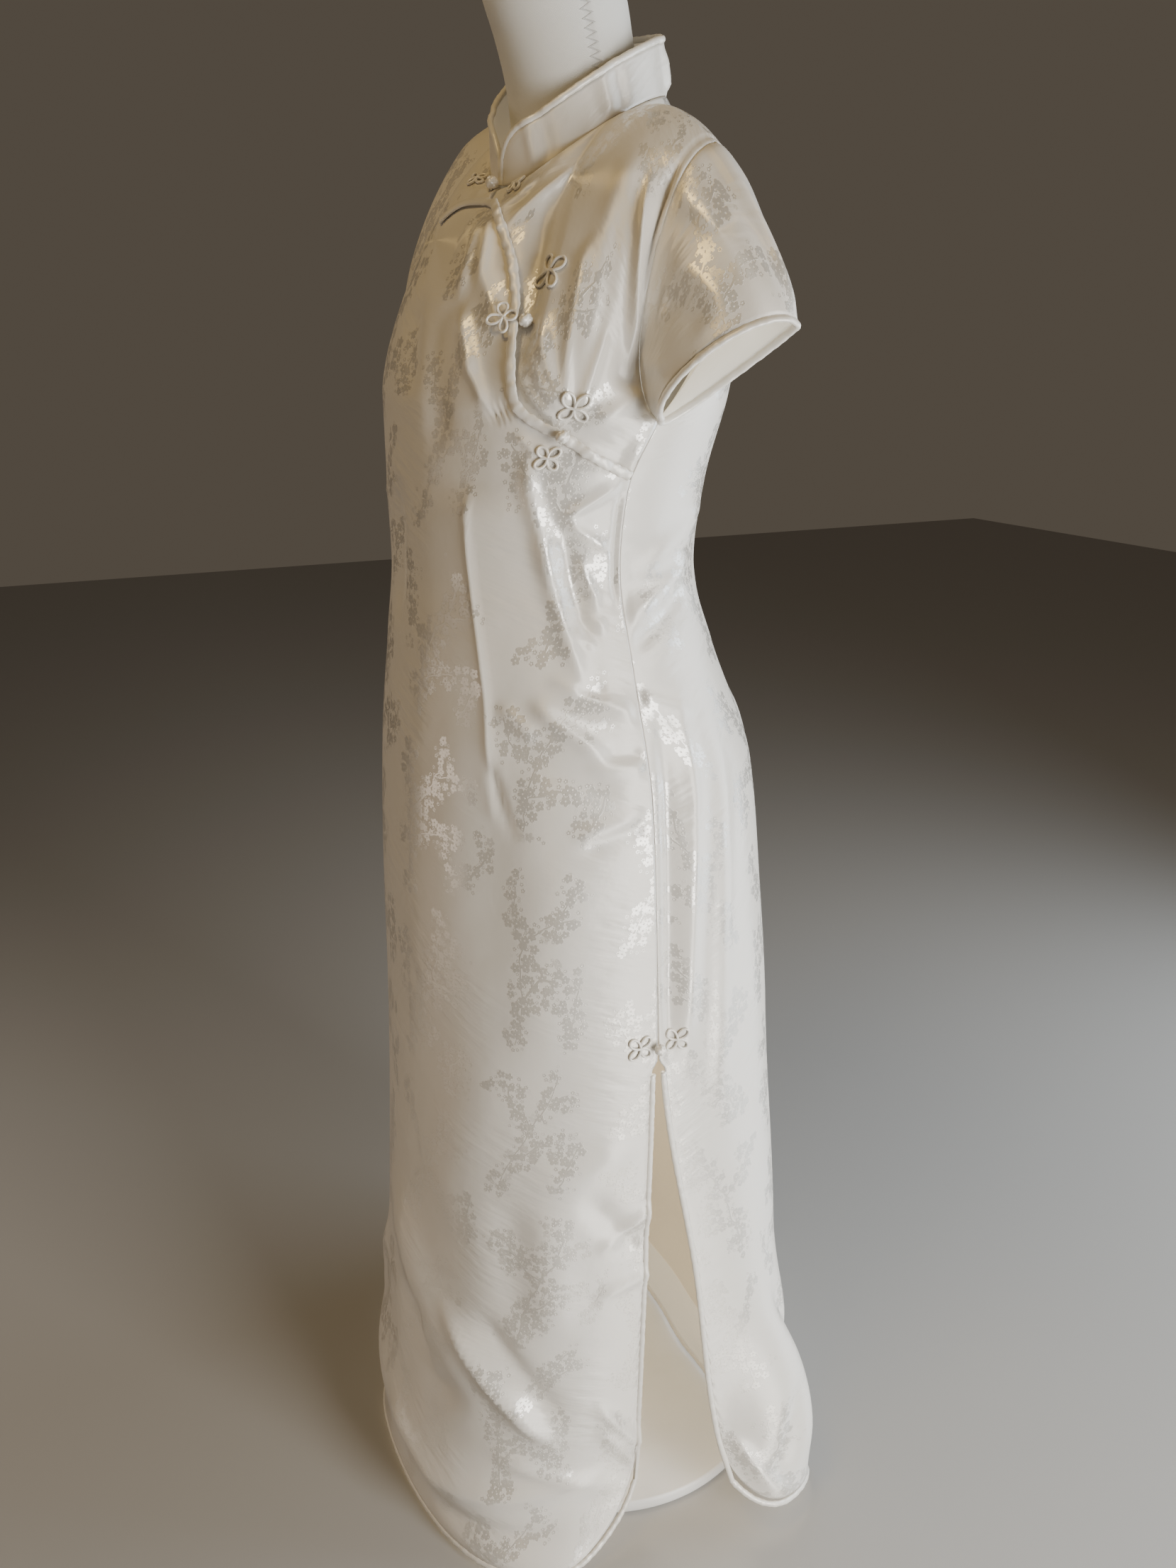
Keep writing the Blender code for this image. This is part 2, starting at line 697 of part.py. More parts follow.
def sleeve_point(station, along):
    """A point of the left sleeve from its armhole, along 0, to its hem, along 1."""
    share = station / (2 * RISE_STEPS)
    start = armhole_point(station)
    end = sleeve_hem_point(share)
    straight = end - start
    top = math.sin(math.pi * share) ** 2
    leave = straight * (1 - top) + SLEEVE_LEAVE * top
    arrive = straight * (1 - top) + SLEEVE_ARRIVE * top
    start = start + unit(leave) * SLEEVE_GAP
    return hermite(start, end, leave, arrive, along)


SLEEVE_STATIONS = range(2 * RISE_STEPS)


def make_sleeve(name, mirror):
    steps = 5
    rows = [[sleeve_point(s, i / steps) * (mirror, 1, 1) for s in SLEEVE_STATIONS] for i in range(steps + 1)]
    if mirror < 0:
        rows = [row[::-1] for row in rows]
    return sheet(name, rows, WALL, brocade(), closed=True)


def make_sleeve_piping(name, mirror):
    path = np.array([sleeve_point(s, 1.0) for s in SLEEVE_STATIONS])
    before = np.array([sleeve_point(s, 0.80) for s in SLEEVE_STATIONS])
    centre = path.mean(axis=0)
    outward = unit(path - before)
    inward = unit(centre - path)
    short = np.array([1 - math.sin(math.pi * s / (2 * RISE_STEPS)) ** 2 for s in SLEEVE_STATIONS])
    step = (SLEEVE_PIPING_STEP + 0.0038 * short**2)[:, None]
    line = (path + outward * step + inward * WALL / 2) * (mirror, 1, 1)
    return tube(name, line, PIPING_RADIUS, satin(), closed=True, sides=1)


# Frogs: each row is a flower's name, its panel, its middle, its turn, its reach and its height over the cloth
FLOWERS = (
    ("frog_neck_left", "underlap", 0.125, 1.284, 0.4, 0.0085, 0.0),
    ("frog_neck_right", "front", -0.140, 1.284, 0.4, 0.0085, 0.0),
    ("frog_chest_left", "underlap", 0.510, 1.192, 0.5, PETAL_REACH, 0.0),
    ("frog_chest_right", "front", 0.413, 1.169, 0.2, 0.0120, 0.0061),
    ("frog_side_upper", "underlap", 0.735, 1.1205, 0.7, 0.0140, 0.0),
    ("frog_side_lower", "front", 0.695, 1.0805, 0.7, 0.0110, 0.0),
    ("frog_slit_left_front", "front", 0.942, 0.575, 0.8, 0.0130, 0.0),
    ("frog_slit_left_back", "back", 0.942, 0.575, 0.8, 0.0130, 0.0),
    ("frog_slit_right_front", "front", -0.942, 0.575, 0.8, 0.0130, 0.0),
    ("frog_slit_right_back", "back", -0.942, 0.575, 0.8, 0.0130, 0.0),
)

# The knotted balls: name, panel, middle, and how far the ball's foot stands off the cloth
BALLS = (
    ("ball_neck", "front", 0.000, 1.292, -0.0002),
    ("ball_chest", "underlap", 0.490, 1.169, 0.0004),
    ("ball_side", "front", 0.713, 1.0985, 0.0048),
    ("ball_slit_left", "front", 0.999, 0.572, 0.0008),
    ("ball_slit_right", "front", -0.999, 0.572, 0.0008),
)


def laid_point(piece, across, up, out):
    """A point lying on a piece of cloth; the underlap is the front's surface, dropped near the opening."""
    if piece == "underlap":
        return cloth_point("front", across, up, out - underlap_drop(across, up))
    return cloth_point(piece, across, up, out)


def walk(panel, across, up, along, rise):
    """The place reached from another by a step in metres: along the cloth's level, and square to it."""
    here = cloth_point(panel, across, up)
    by_across = (cloth_point(panel, across + 0.01, up) - here) / 0.01
    by_up = (cloth_point(panel, across, up + 0.002) - here) / 0.002
    level = unit(by_across)
    slant = by_up @ level
    up_step = rise / np.linalg.norm(by_up - slant * level)
    return across + (along - up_step * slant) / np.linalg.norm(by_across), up + up_step


def make_flower(name, piece, across, up, turn, reach, height):
    """Half a frog: one cord laid as the outline of a clover, made from the panel's points moved out."""
    stations = 4 * 6
    panel = "back" if piece == "back" else "front"
    path = []
    for k in range(stations):
        angle = 2 * math.pi * k / stations
        radius = reach * (0.30 + 0.70 * abs(math.sin(2 * angle)))
        a, u = walk(panel, across, up, radius * math.cos(angle + turn), radius * math.sin(angle + turn))
        path.append(laid_point(piece, a, u, FROG_LIFT + height))
    return tube(name, path, CORD_RADIUS, satin(), closed=True, sides=0)


def make_ball(name, piece, across, up, stand):
    """The knotted button of a frog."""
    centre = laid_point(piece, across, up, stand + BALL_RADIUS)
    rings = []
    for level in (-0.92, -0.5, 0.5, 0.92):
        ring = BALL_RADIUS * math.sqrt(1 - level**2)
        rings.append(
            [
                (centre[0] + ring * math.cos(a), centre[1] + ring * math.sin(a), centre[2] + BALL_RADIUS * level)
                for a in np.linspace(0, 2 * math.pi, 8, endpoint=False)
            ]
        )
    return stacked(name, rings, satin())


# Dress form


def form_reach(table, z, middle, angle):
    """The distance from the ring's middle to one of the form's elliptic sections, in one direction."""
    half, front_y, back_y = (float(read(table, FORM_COLUMNS, name, z)) for name in FORM_COLUMNS[1:])
    shift, depth = (front_y + back_y) / 2 - middle, (back_y - front_y) / 2
    across, along = math.cos(angle) / half, math.sin(angle) / depth
    a, b = across**2 + along**2, along * shift / depth
    return (b + math.sqrt(max(b * b - a * ((shift / depth) ** 2 - 1), 0))) / a


def form_ring(z, sides):
    """A ring of the form: the torso's section and the neck's, joined smoothly where both exist."""
    last = FORM_SECTIONS[-1][0]
    table = FORM_SECTIONS if z < NECK_SECTIONS[0][0] else NECK_SECTIONS
    front_y, back_y = (float(read(table, FORM_COLUMNS, name, z)) for name in FORM_COLUMNS[2:])
    middle = (front_y + back_y) / 2
    tilt = 0.35 * smoothstep(1.34, 1.44, z)
    ring = []
    for angle in np.linspace(0, 2 * math.pi, sides, endpoint=False):
        reaches = [form_reach(FORM_SECTIONS, z, middle, angle)] if z < last else []
        if z > NECK_SECTIONS[0][0]:
            reaches.append(form_reach(NECK_SECTIONS, z, middle, angle))
        reach = sum(r**12 for r in reaches) ** (1 / 12)
        y = reach * math.sin(angle)
        ring.append((reach * math.cos(angle), middle + y, z + y * tilt))
    return ring


def make_form():
    levels = {row[0] for row in FORM_SECTIONS + NECK_SECTIONS}
    levels |= {0.70, 0.80, 0.88, 0.955, 1.025, 1.09, 1.145, 1.195, 1.235, 1.37}
    return stacked("form_torso", [form_ring(z, 24) for z in sorted(levels)], jersey())


def make_stand():
    rim = 0.004
    base = [(BASE_RADIUS - rim, 0), (BASE_RADIUS, rim), (BASE_RADIUS, BASE_HEIGHT - rim), (BASE_RADIUS - rim, BASE_HEIGHT)]
    turned("stand_base", base, 48, painted())
    foot = BASE_HEIGHT + 0.0003
    turned("stand_pole", [(POLE_RADIUS, foot), (POLE_RADIUS, FORM_BOTTOM_Z - 0.0003)], 16, painted())


# Side zip


def make_zip():
    """The zip's tape, just inside the left side seam."""
    rows = []
    for z in np.linspace(ZIP_LOW_Z, ZIP_HIGH_Z, 9):
        arc = girth("front", z)
        row = []
        for panel, share in (("front", 1.0), ("front", 0.5), ("front", 0.0), ("back", 0.5), ("back", 1.0)):
            across = 1 - share * ZIP_HALF_WIDTH / arc
            row.append(base_point(panel, across, z - HEM_Z) - np.array([ZIP_INSET, 0, 0]))
        rows.append(row)
    return sheet("side_zip", rows, ZIP_WALL, satin())


def main():
    for old in list(bpy.data.objects):
        bpy.data.objects.remove(old)
    make_front()
    make_back()
    make_underlap()
    make_collar()
    for name, mirror in (("left", 1), ("right", -1)):
        make_sleeve(f"sleeve_{name}", mirror)
        make_sleeve_piping(f"piping_sleeve_{name}", mirror)
    make_collar_piping()
    make_opening_piping()
    make_hem_piping("front")
    make_hem_piping("back")
    for row in FLOWERS:
        make_flower(*row)
    for row in BALLS:
        make_ball(*row)
    make_zip()
    make_form()
    make_stand()


if __name__ == "__main__":
    main()
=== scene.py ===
"""A floor-length plum-blossom brocade cheongsam on a limbless dress form, dressed over its CAD solids.

Metres, +Z up; the front of the dress faces -Y and the wearer's left is +X. Each panel of cloth is one
surface in two parameters: across, from -1 at the wearer's right edge to 1 at the left, and up, the
height along the cloth from the hem.
"""

import math

import bpy
import numpy as np
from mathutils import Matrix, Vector


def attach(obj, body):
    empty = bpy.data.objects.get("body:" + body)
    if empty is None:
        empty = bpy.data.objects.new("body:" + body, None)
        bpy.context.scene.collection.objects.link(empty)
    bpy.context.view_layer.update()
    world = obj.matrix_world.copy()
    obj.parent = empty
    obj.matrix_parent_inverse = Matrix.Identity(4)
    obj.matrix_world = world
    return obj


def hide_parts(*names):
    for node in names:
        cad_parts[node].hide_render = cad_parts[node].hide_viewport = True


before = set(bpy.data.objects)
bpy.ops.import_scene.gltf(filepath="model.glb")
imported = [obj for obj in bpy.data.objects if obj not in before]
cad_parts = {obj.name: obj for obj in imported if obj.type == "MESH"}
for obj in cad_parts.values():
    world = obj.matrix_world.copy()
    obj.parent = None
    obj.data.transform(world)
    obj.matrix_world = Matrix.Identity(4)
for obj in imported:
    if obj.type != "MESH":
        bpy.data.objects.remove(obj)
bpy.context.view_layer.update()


# Camera. The photo was taken with a phone's main lens held at chest height, about a metre from the
# dress, a quarter turn round to the wearer's left and tipped down.

TURN = math.radians(65)
TILT = math.radians(20)
AWAY, ASIDE, ABOVE = 1.10, -0.02, 1.158

towards = np.array([math.sin(TURN), -math.cos(TURN), 0.0])
sideways = np.array([math.cos(TURN), math.sin(TURN), 0.0])


def placed(name, data, at=(0, 0, 0), look=None):
    """A new object in the scene; look is the direction that a camera or a light faces."""
    made = bpy.data.objects.new(name, data)
    bpy.context.scene.collection.objects.link(made)
    if look is not None:
        made.location = at
        made.rotation_mode = "QUATERNION"
        made.rotation_quaternion = Vector(look).to_track_quat("-Z", "Y")
    return made


lens = bpy.data.cameras.new("camera")
lens.sensor_width = 36
lens.lens = 27.03
lens.clip_start = 0.05
look = -towards * math.cos(TILT) - np.array([0, 0, math.sin(TILT)])
camera = placed("camera", lens, towards * AWAY + sideways * ASIDE + (0, 0, ABOVE), look)
bpy.context.scene.camera = camera


# Light and floor. A low window and a softer, cooler one stand beside and behind the wearer's left
# hip; a warm lamp hangs above the front, a faint one lights it from below, and another the inside of
# the skirt. The floor is plain and pale.


class Wire:
    """An output of a shader node. The usual operators on it make Math nodes."""

    def __init__(self, finish, socket):
        self.finish = finish
        self.socket = socket

    def math(self, operation, *others, clamp=False):
        settings = {"operation": operation, "use_clamp": clamp}
        return self.finish.node("ShaderNodeMath", settings, [self, *others])

    def vector(self, operation, *others, output=0):
        return self.finish.node("ShaderNodeVectorMath", {"operation": operation}, [self, *others], output)

    def part(self, axis):
        return self.finish.node("ShaderNodeSeparateXYZ", {}, [self], axis)

    def between(self, low, high):
        """0 at low, 1 at high and an S-curve between; low may be the larger."""
        settings = {"interpolation_type": "SMOOTHSTEP"}
        if low < high:
            return self.finish.node("ShaderNodeMapRange", settings, [self, low, high, 0.0, 1.0])
        return self.finish.node("ShaderNodeMapRange", settings, [self, high, low, 1.0, 0.0])

    def __add__(self, other):
        return self.math("ADD", other)

    def __sub__(self, other):
        return self.math("SUBTRACT", other)

    def __mul__(self, other):
        return self.math("MULTIPLY", other)

    def __truediv__(self, other):
        return self.math("DIVIDE", other)

    __radd__ = __add__
    __rmul__ = __mul__

    def __rsub__(self, other):
        return self * -1 + other


class Finish:
    """A material whose nodes are written as sums."""

    def __init__(self, name, colour, roughness, **settings):
        self.material = bpy.data.materials.new(name)
        self.material.use_nodes = True
        self.shader = self.material.node_tree.nodes["Principled BSDF"]
        self.set("Base Color", colour)
        self.set("Roughness", roughness)
        for key, value in settings.items():
            self.set(key.replace("_", " "), value)

    def node(self, kind, settings, inputs, output=0):
        made = self.material.node_tree.nodes.new(kind)
        for key, value in settings.items():
            setattr(made, key, value)
        pairs = inputs.items() if isinstance(inputs, dict) else enumerate(inputs)
        for key, value in pairs:
            self.fill(made.inputs[key], value)
        return Wire(self, made.outputs[output])

    def fill(self, socket, value):
        if isinstance(value, Wire):
            self.material.node_tree.links.new(value.socket, socket)
        elif socket.type == "RGBA":
            socket.default_value = (*value, 1)
        elif socket.type == "VECTOR" and not hasattr(value, "__len__"):
            socket.default_value = (value, value, value)
        else:
            socket.default_value = value

    def set(self, name, value):
        self.fill(self.shader.inputs[name], value)

    def mix(self, share, low, high):
        """A colour between two others."""
        return self.node("ShaderNodeMix", {"data_type": "RGBA"}, {0: share, 6: low, 7: high}, 2)

    def noise(self, at, scale, detail=2.0, output=0):
        return self.node("ShaderNodeTexNoise", {}, {"Vector": at, "Scale": scale, "Detail": detail}, output)

    def uv(self):
        return self.node("ShaderNodeUVMap", {"uv_map": "flat"}, [])

    def point(self):
        return self.node("ShaderNodeTexCoord", {}, [], "Object")

    def bump(self, height, distance, strength=1.0):
        """Relief of the given height in metres for a height input from 0 to 1."""
        made = self.node("ShaderNodeBump", {}, {"Strength": strength, "Distance": distance, "Height": height})
        self.set("Normal", made)


# name, place, aim, size, watts, colour
LIGHTS = (
    ("window", (1.64, 0.44, 0.66), (0, 0, 0.60), (0.7, 1.5), 45, (1.0, 0.985, 0.95)),
    ("sky", (0.55, 1.72, 0.80), (0, 0, 0.65), (1.4, 1.5), 33, (0.80, 0.90, 1.0)),
    ("lamp", (0.4, -0.9, 2.7), (0, -0.1, 1.0), (0.5, 0.5), 10, (1.0, 0.70, 0.28)),
    ("bounce", (-0.5, -1.7, 0.40), (0, -0.1, 0.30), (1.2, 0.5), 5.0, (1.0, 0.84, 0.70)),
    ("glow", (0.02, -0.03, 0.62), (0.02, -0.03, 0.0), (0.20, 0.12), 0.9, (1.0, 0.93, 0.80)),
)
for name, at, aim, size, watts, colour in LIGHTS:
    data = bpy.data.lights.new(name, "AREA")
    data.shape = "RECTANGLE"
    data.size, data.size_y = size
    data.energy = watts
    data.color = colour
    placed(name, data, at, np.subtract(aim, at))

world = bpy.data.worlds.new("room")
world.use_nodes = True
room = world.node_tree.nodes["Background"].inputs
room["Color"].default_value = (1.0, 0.83, 0.64, 1)
room["Strength"].default_value = 0.09
bpy.context.scene.world = world

FLOOR_Z = -0.0004
floor_mesh = bpy.data.meshes.new("floor")
corners = [(x, y, FLOOR_Z) for x, y in ((-6, -6), (6, -6), (6, 6), (-6, 6))]
floor_mesh.from_pydata(corners, [], [(0, 1, 2, 3)])
floor_mesh.materials.append(Finish("floor", (0.42, 0.41, 0.395), 0.85).material)
placed("floor", floor_mesh)


# Dress form. A limbless torso whose neck leans forward, covered in white jersey. The knit shows two
# stitched seams on the neck: one round it near the top and one down its side, with painted shade in their
# grooves.


def smoothstep(low, high, x):
    """0 below low, 1 above high, and an S-curve between."""
    t = np.clip((np.asarray(x, float) - low) / (high - low), 0, 1)
    return t * t * (3 - 2 * t)


def unit(vectors):
    """Vectors made one metre long."""
    return vectors / np.maximum(np.linalg.norm(vectors, axis=-1, keepdims=True), 1e-12)


def hermite(start, end, leave, arrive, t):
    """The cubic from start to end with the given tangents."""
    return (
        (2 * t**3 - 3 * t**2 + 1) * start
        + (3 * t**2 - 2 * t**3) * end
        + (t**3 - 2 * t**2 + t) * leave
        + (t**3 - t**2) * arrive
    )


def read(table, names, name, at):
    """One column of a table at any key, on a monotone cubic curve through its rows."""
    keys = np.array([row[0] for row in table])
    values = np.array([row[names.index(name)] for row in table])
    steps = np.diff(keys)
    slopes = np.diff(values) / steps
    tangents = np.zeros(len(keys))
    tangents[[0, -1]] = slopes[[0, -1]]
    same_way = slopes[:-1] * slopes[1:] > 0
    pair = np.where(same_way, slopes[:-1] + slopes[1:], 1.0)
    tangents[1:-1] = np.where(same_way, 2 * slopes[:-1] * slopes[1:] / pair, 0.0)
    at = np.clip(np.asarray(at, float), keys[0], keys[-1])
    i = np.clip(np.searchsorted(keys, at, side="right") - 1, 0, len(keys) - 2)
    t = (at - keys[i]) / steps[i]
    return hermite(values[i], values[i + 1], tangents[i] * steps[i], tangents[i + 1] * steps[i], t)


def posed(points):
    """Points turned and tilted with the form's shoulders, fully above the chest and not below the waist."""
    share = smoothstep(1.00, 1.28, points[..., 2])
    angle = 0.17 * share
    x, y = points[..., 0], points[..., 1] + 0.030
    turned_x = x * np.cos(angle) - y * np.sin(angle)
    turned_y = x * np.sin(angle) + y * np.cos(angle) - 0.030
    return np.stack([turned_x, turned_y, points[..., 2] - 0.11 * share * x], axis=-1)


def grid_piece(name, points, uv, finishes, replaced, closed=False, wall=None, ends=False):
    """One object from rows of points, with its UVs in metres and, on cloth, its wall and lining."""
    rows, columns = points.shape[:2]
    i, j = np.meshgrid(np.arange(rows - 1), np.arange(columns if closed else columns - 1), indexing="ij")
    after = (j + 1) % columns
    here, above = i * columns, (i + 1) * columns
    quads = np.stack([here + j, here + after, above + after, above + j], -1)
    faces = quads.reshape(-1, 4)
    mesh = bpy.data.meshes.new(name)
    caps = []
    if ends:
        caps = [list(range(columns))[::-1], list(range((rows - 1) * columns, rows * columns))]
    mesh.from_pydata(posed(points).reshape(-1, 3), [], faces.tolist() + caps)
    corners = np.stack([uv[i, j], uv[i, j + 1], uv[i + 1, j + 1], uv[i + 1, j]], 2).reshape(-1, 2)
    spare = np.zeros((sum(len(c) for c in caps), 2))
    layer = mesh.uv_layers.new(name="flat")
    layer.data.foreach_set("uv", np.concatenate([corners, spare]).ravel())
    mesh.shade_smooth()
    for finish in finishes:
        mesh.materials.append(finish.material)
    made = placed(name, mesh)
    if wall:
        solidify = made.modifiers.new("wall", "SOLIDIFY")
        solidify.thickness = wall
        solidify.offset = -1
        solidify.use_even_offset = False
        solidify.material_offset = len(finishes) - 1
        solidify.material_offset_rim = 0
    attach(made, "root")
    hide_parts(replaced)
    return made


FORM_COLUMNS = ("z", "half", "front_y", "back_y")
TORSO = (
    (0.640, 0.150, -0.160, 0.062),
    (0.760, 0.166, -0.176, 0.080),
    (0.840, 0.164, -0.172, 0.080),
    (0.920, 0.142, -0.150, 0.052),
    (0.990, 0.126, -0.142, 0.030),
    (1.060, 0.138, -0.168, 0.034),
    (1.120, 0.148, -0.180, 0.046),
    (1.170, 0.148, -0.170, 0.050),
    (1.215, 0.146, -0.140, 0.045),
    (1.250, 0.145, -0.114, 0.036),
    (1.277, 0.143, -0.096, 0.028),
    (1.296, 0.137, -0.084, 0.0236),
    (1.310, 0.114, -0.074, 0.010),
    (1.322, 0.080, -0.064, 0.004),
    (1.332, 0.050, -0.060, 0.000),
    (1.345, 0.020, -0.050, -0.020),
)
NECK = (
    (1.250, 0.040, -0.070, 0.010),
    (1.285, 0.050, -0.082, 0.018),
    (1.345, 0.054, -0.088, 0.020),
    (1.400, 0.053, -0.100, 0.008),
    (1.430, 0.053, -0.110, -0.002),
    (1.462, 0.052, -0.120, -0.014),
    (1.474, 0.046, -0.117, -0.025),
    (1.480, 0.032, -0.106, -0.040),
)


def form_reach(table, z, middle, angle):
    """The distance from (0, middle) to the table's ellipse at each height, in each direction."""
    half, front_y, back_y = (read(table, FORM_COLUMNS, name, z) for name in FORM_COLUMNS[1:])
    shift, depth = (front_y + back_y) / 2 - middle, (back_y - front_y) / 2
    across, along = np.cos(angle) / half, np.sin(angle) / depth
    a, b = across**2 + along**2, along * shift / depth
    return (b + np.sqrt(np.maximum(b * b - a * ((shift / depth) ** 2 - 1), 0))) / a


def form_surface(angle, z):
    """The form: two stacked ellipses joined by a smooth maximum, the neck's sections tipped forward."""
    own = z < 1.25
    front_y = np.where(own, read(TORSO, FORM_COLUMNS, "front_y", z), read(NECK, FORM_COLUMNS, "front_y", z))
    back_y = np.where(own, read(TORSO, FORM_COLUMNS, "back_y", z), read(NECK, FORM_COLUMNS, "back_y", z))
    middle = (front_y + back_y) / 2
    torso = np.where(z < 1.345, form_reach(TORSO, z, middle, angle), 0.0)
    neck = np.where(z > 1.25, form_reach(NECK, z, middle, angle), 0.0)
    reach = (torso**12 + neck**12) ** (1 / 12)
    y = reach * np.sin(angle)
    return np.stack([reach * np.cos(angle), middle + y, z + y * 0.35 * smoothstep(1.34, 1.44, z)], axis=-1)


spans = ((0.64, 1.24, 40), (1.25, 1.46, 60), (1.463, 1.48, 10))
levels = np.concatenate([np.linspace(*span) for span in spans])
angle, z = np.meshgrid(np.linspace(0, 2 * math.pi, 72, endpoint=False), levels)
form_uv = np.stack(np.meshgrid(np.linspace(0, 0.34, 73), z[:, 0]), axis=-1)

jersey = Finish("jersey", (0.70, 0.69, 0.65), 0.95, Sheen_Weight=0.25, Sheen_Roughness=0.5)
flat = jersey.uv()
u, v = flat.part(0), flat.part(1)
knit = (u * 5200).math("SINE") * (v * 5200).math("SINE")


def zigzag(along, off, period=0.0064, swing=0.0042, thread=0.0015):
    """1 on a zigzag line of thread: along runs down it, off is the distance from its middle line."""
    wave = ((along / period).math("FRACT") - 0.5).math("ABSOLUTE") * 4 - 1
    return (off - wave * swing).math("ABSOLUTE").between(thread, thread * 0.45)


RING_AT = 1.436
ring_off = v - RING_AT
side_off = u - 0.330
ring_seam = zigzag(u, ring_off)
side_seam = zigzag(v, side_off) * v.between(RING_AT - 0.003, RING_AT - 0.0035)
beside = side_off.math("ABSOLUTE").between(0.006, 0.0) * v.between(RING_AT, RING_AT - 0.001)
groove_and_shade = ring_off.math("ABSOLUTE").between(0.006, 0.0) + beside
thread = ring_seam.math("MAXIMUM", side_seam)
blotch = jersey.noise(jersey.point(), 9.0, 3.0)
# The seam grooves also darken the colour: painted shade in the recess beside each seam. The thread is darker
# stitching.
shade = (blotch - 0.5) * 0.5 + groove_and_shade * 0.3 + thread * 0.6 + 0.2
jersey.set("Base Color", jersey.mix(shade, (0.74, 0.73, 0.69), (0.54, 0.53, 0.50)))
jersey.bump(knit * 0.10 + thread * 0.8 - groove_and_shade * 0.9, 0.0008)

grid_piece(
    "form", form_surface(angle, z), form_uv, [jersey], "form_torso", closed=True, ends=True
)


# Stand. A white painted pole kept from the CAD model, and a rebuilt round plate with a rounded rim.

paint = Finish("paint", (0.80, 0.79, 0.77), 0.42, Coat_Weight=0.15, Coat_Roughness=0.3)
speckle = paint.noise(paint.point(), 900.0, 2.0)
scuff = paint.noise(paint.point(), 14.0, 4.0)
paint.set("Roughness", 0.36 + scuff * 0.16)
paint.set("Base Color", paint.mix(scuff.between(0.45, 0.8) * 0.5, (0.80, 0.79, 0.77), (0.72, 0.71, 0.68)))
paint.bump(speckle, 0.00008)

angle, step = np.meshgrid(np.linspace(0, 2 * math.pi, 160, endpoint=False), np.linspace(0, 1, 24))
rim_turn = math.pi * (step - 0.5)
radius = np.where(step < 0.02, 0.001, 0.186 + 0.004 * np.cos(rim_turn))
height = np.where(step < 0.02, 0.0, 0.0075 + 0.0075 * np.sin(rim_turn))
radius = np.where(step > 0.98, 0.0135, radius)
plate_points = np.stack([radius * np.cos(angle), radius * np.sin(angle), height], axis=-1)
plate_uv = np.stack(np.meshgrid(np.linspace(0, 1.2, 161), np.linspace(0, 0.2, 24)), axis=-1)
grid_piece("plate", plate_points, plate_uv, [paint], "stand_base", closed=True, ends=True)

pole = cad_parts["stand_pole"]
pole.data.materials.clear()
pole.data.materials.append(paint.material)


# Front panel. Ivory satin damask, lined in cream, cut in one from hem to shoulder, with a curved
# opening that runs from the throat to the left side seam, and darted at the waist.

HEM_Z = 0.009
UNDERARM_Z = 1.118
BODICE_RISE = 0.190
UNDERARM_UP = UNDERARM_Z - HEM_Z
TOP = UNDERARM_UP + BODICE_RISE
WALL = 0.0015
SIDE = {"front": -1.0, "back": 1.0}
REACH = 0.29  # metres for one unit of across, where a fold's line is measured
EDGE_REACH = 0.27  # the same beside a panel's edge
NECK_SHARE = 0.42  # how far across the neckline goes before the shoulder seam
CORNER = 0.095  # radius of the hem's corners

SECTION_COLUMNS = ("z", "half", "mid_y", "edge_y", "round")
SECTIONS = {
    "front": (
        (0.000, 0.226, -0.262, -0.072, 0.55),
        (0.035, 0.210, -0.260, -0.063, 0.56),
        (0.100, 0.192, -0.254, -0.052, 0.58),
        (0.310, 0.194, -0.238, -0.048, 0.66),
        (0.555, 0.196, -0.226, -0.045, 0.76),
        (0.686, 0.195, -0.223, -0.048, 0.80),
        (0.808, 0.190, -0.217, -0.052, 0.84),
        (0.920, 0.167, -0.206, -0.060, 0.88),
        (0.994, 0.152, -0.199, -0.065, 0.88),
        (1.060, 0.158, -0.199, -0.066, 0.86),
        (1.118, 0.166, -0.198, -0.052, 0.84),
    ),
    "back": (
        (0.000, 0.256, 0.100, 0.050, 0.52),
        (0.035, 0.248, 0.106, 0.034, 0.54),
        (0.130, 0.226, 0.138, 0.012, 0.60),
        (0.310, 0.210, 0.160, -0.006, 0.68),
        (0.555, 0.196, 0.150, -0.0425, 0.76),
        (0.600, 0.196, 0.146, -0.0450, 0.77),
        (0.686, 0.195, 0.136, -0.048, 0.80),
        (0.808, 0.190, 0.120, -0.052, 0.84),
        (0.920, 0.167, 0.078, -0.060, 0.90),
        (0.994, 0.152, 0.060, -0.065, 0.92),
        (1.060, 0.158, 0.066, -0.066, 0.90),
        (1.118, 0.166, 0.074, -0.052, 0.88),
    ),
}
TANGENT_COLUMNS = ("across", "leave_y", "leave_z", "arrive_y", "arrive_z")
TANGENTS = {
    "front": (
        (0.00, 0.000, 0.130, 0.160, 0.050),
        (0.42, -0.010, 0.150, 0.150, 0.030),
        (0.80, -0.070, 0.150, 0.160, 0.020),
        (1.00, -0.130, 0.120, 0.160, 0.030),
    ),
    "back": (
        (0.00, 0.020, 0.240, -0.060, 0.150),
        (0.42, 0.050, 0.250, -0.150, 0.050),
        (0.80, 0.110, 0.200, -0.180, 0.020),
        (1.00, 0.150, 0.130, -0.150, 0.030),
    ),
}
OPENING_COLUMNS = ("across", "up")
OPENING = (
    (0.000, TOP),
    (0.050, 1.276),
    (0.138, 1.254),
    (0.200, 1.236),
    (0.275, 1.215),
    (0.350, 1.196),
    (0.440, 1.168),
    (0.495, 1.143),
    (0.545, 1.120),
    (0.600, 1.108),
    (0.725, 1.094),
    (0.825, 1.081),
    (1.000, 1.062),
)

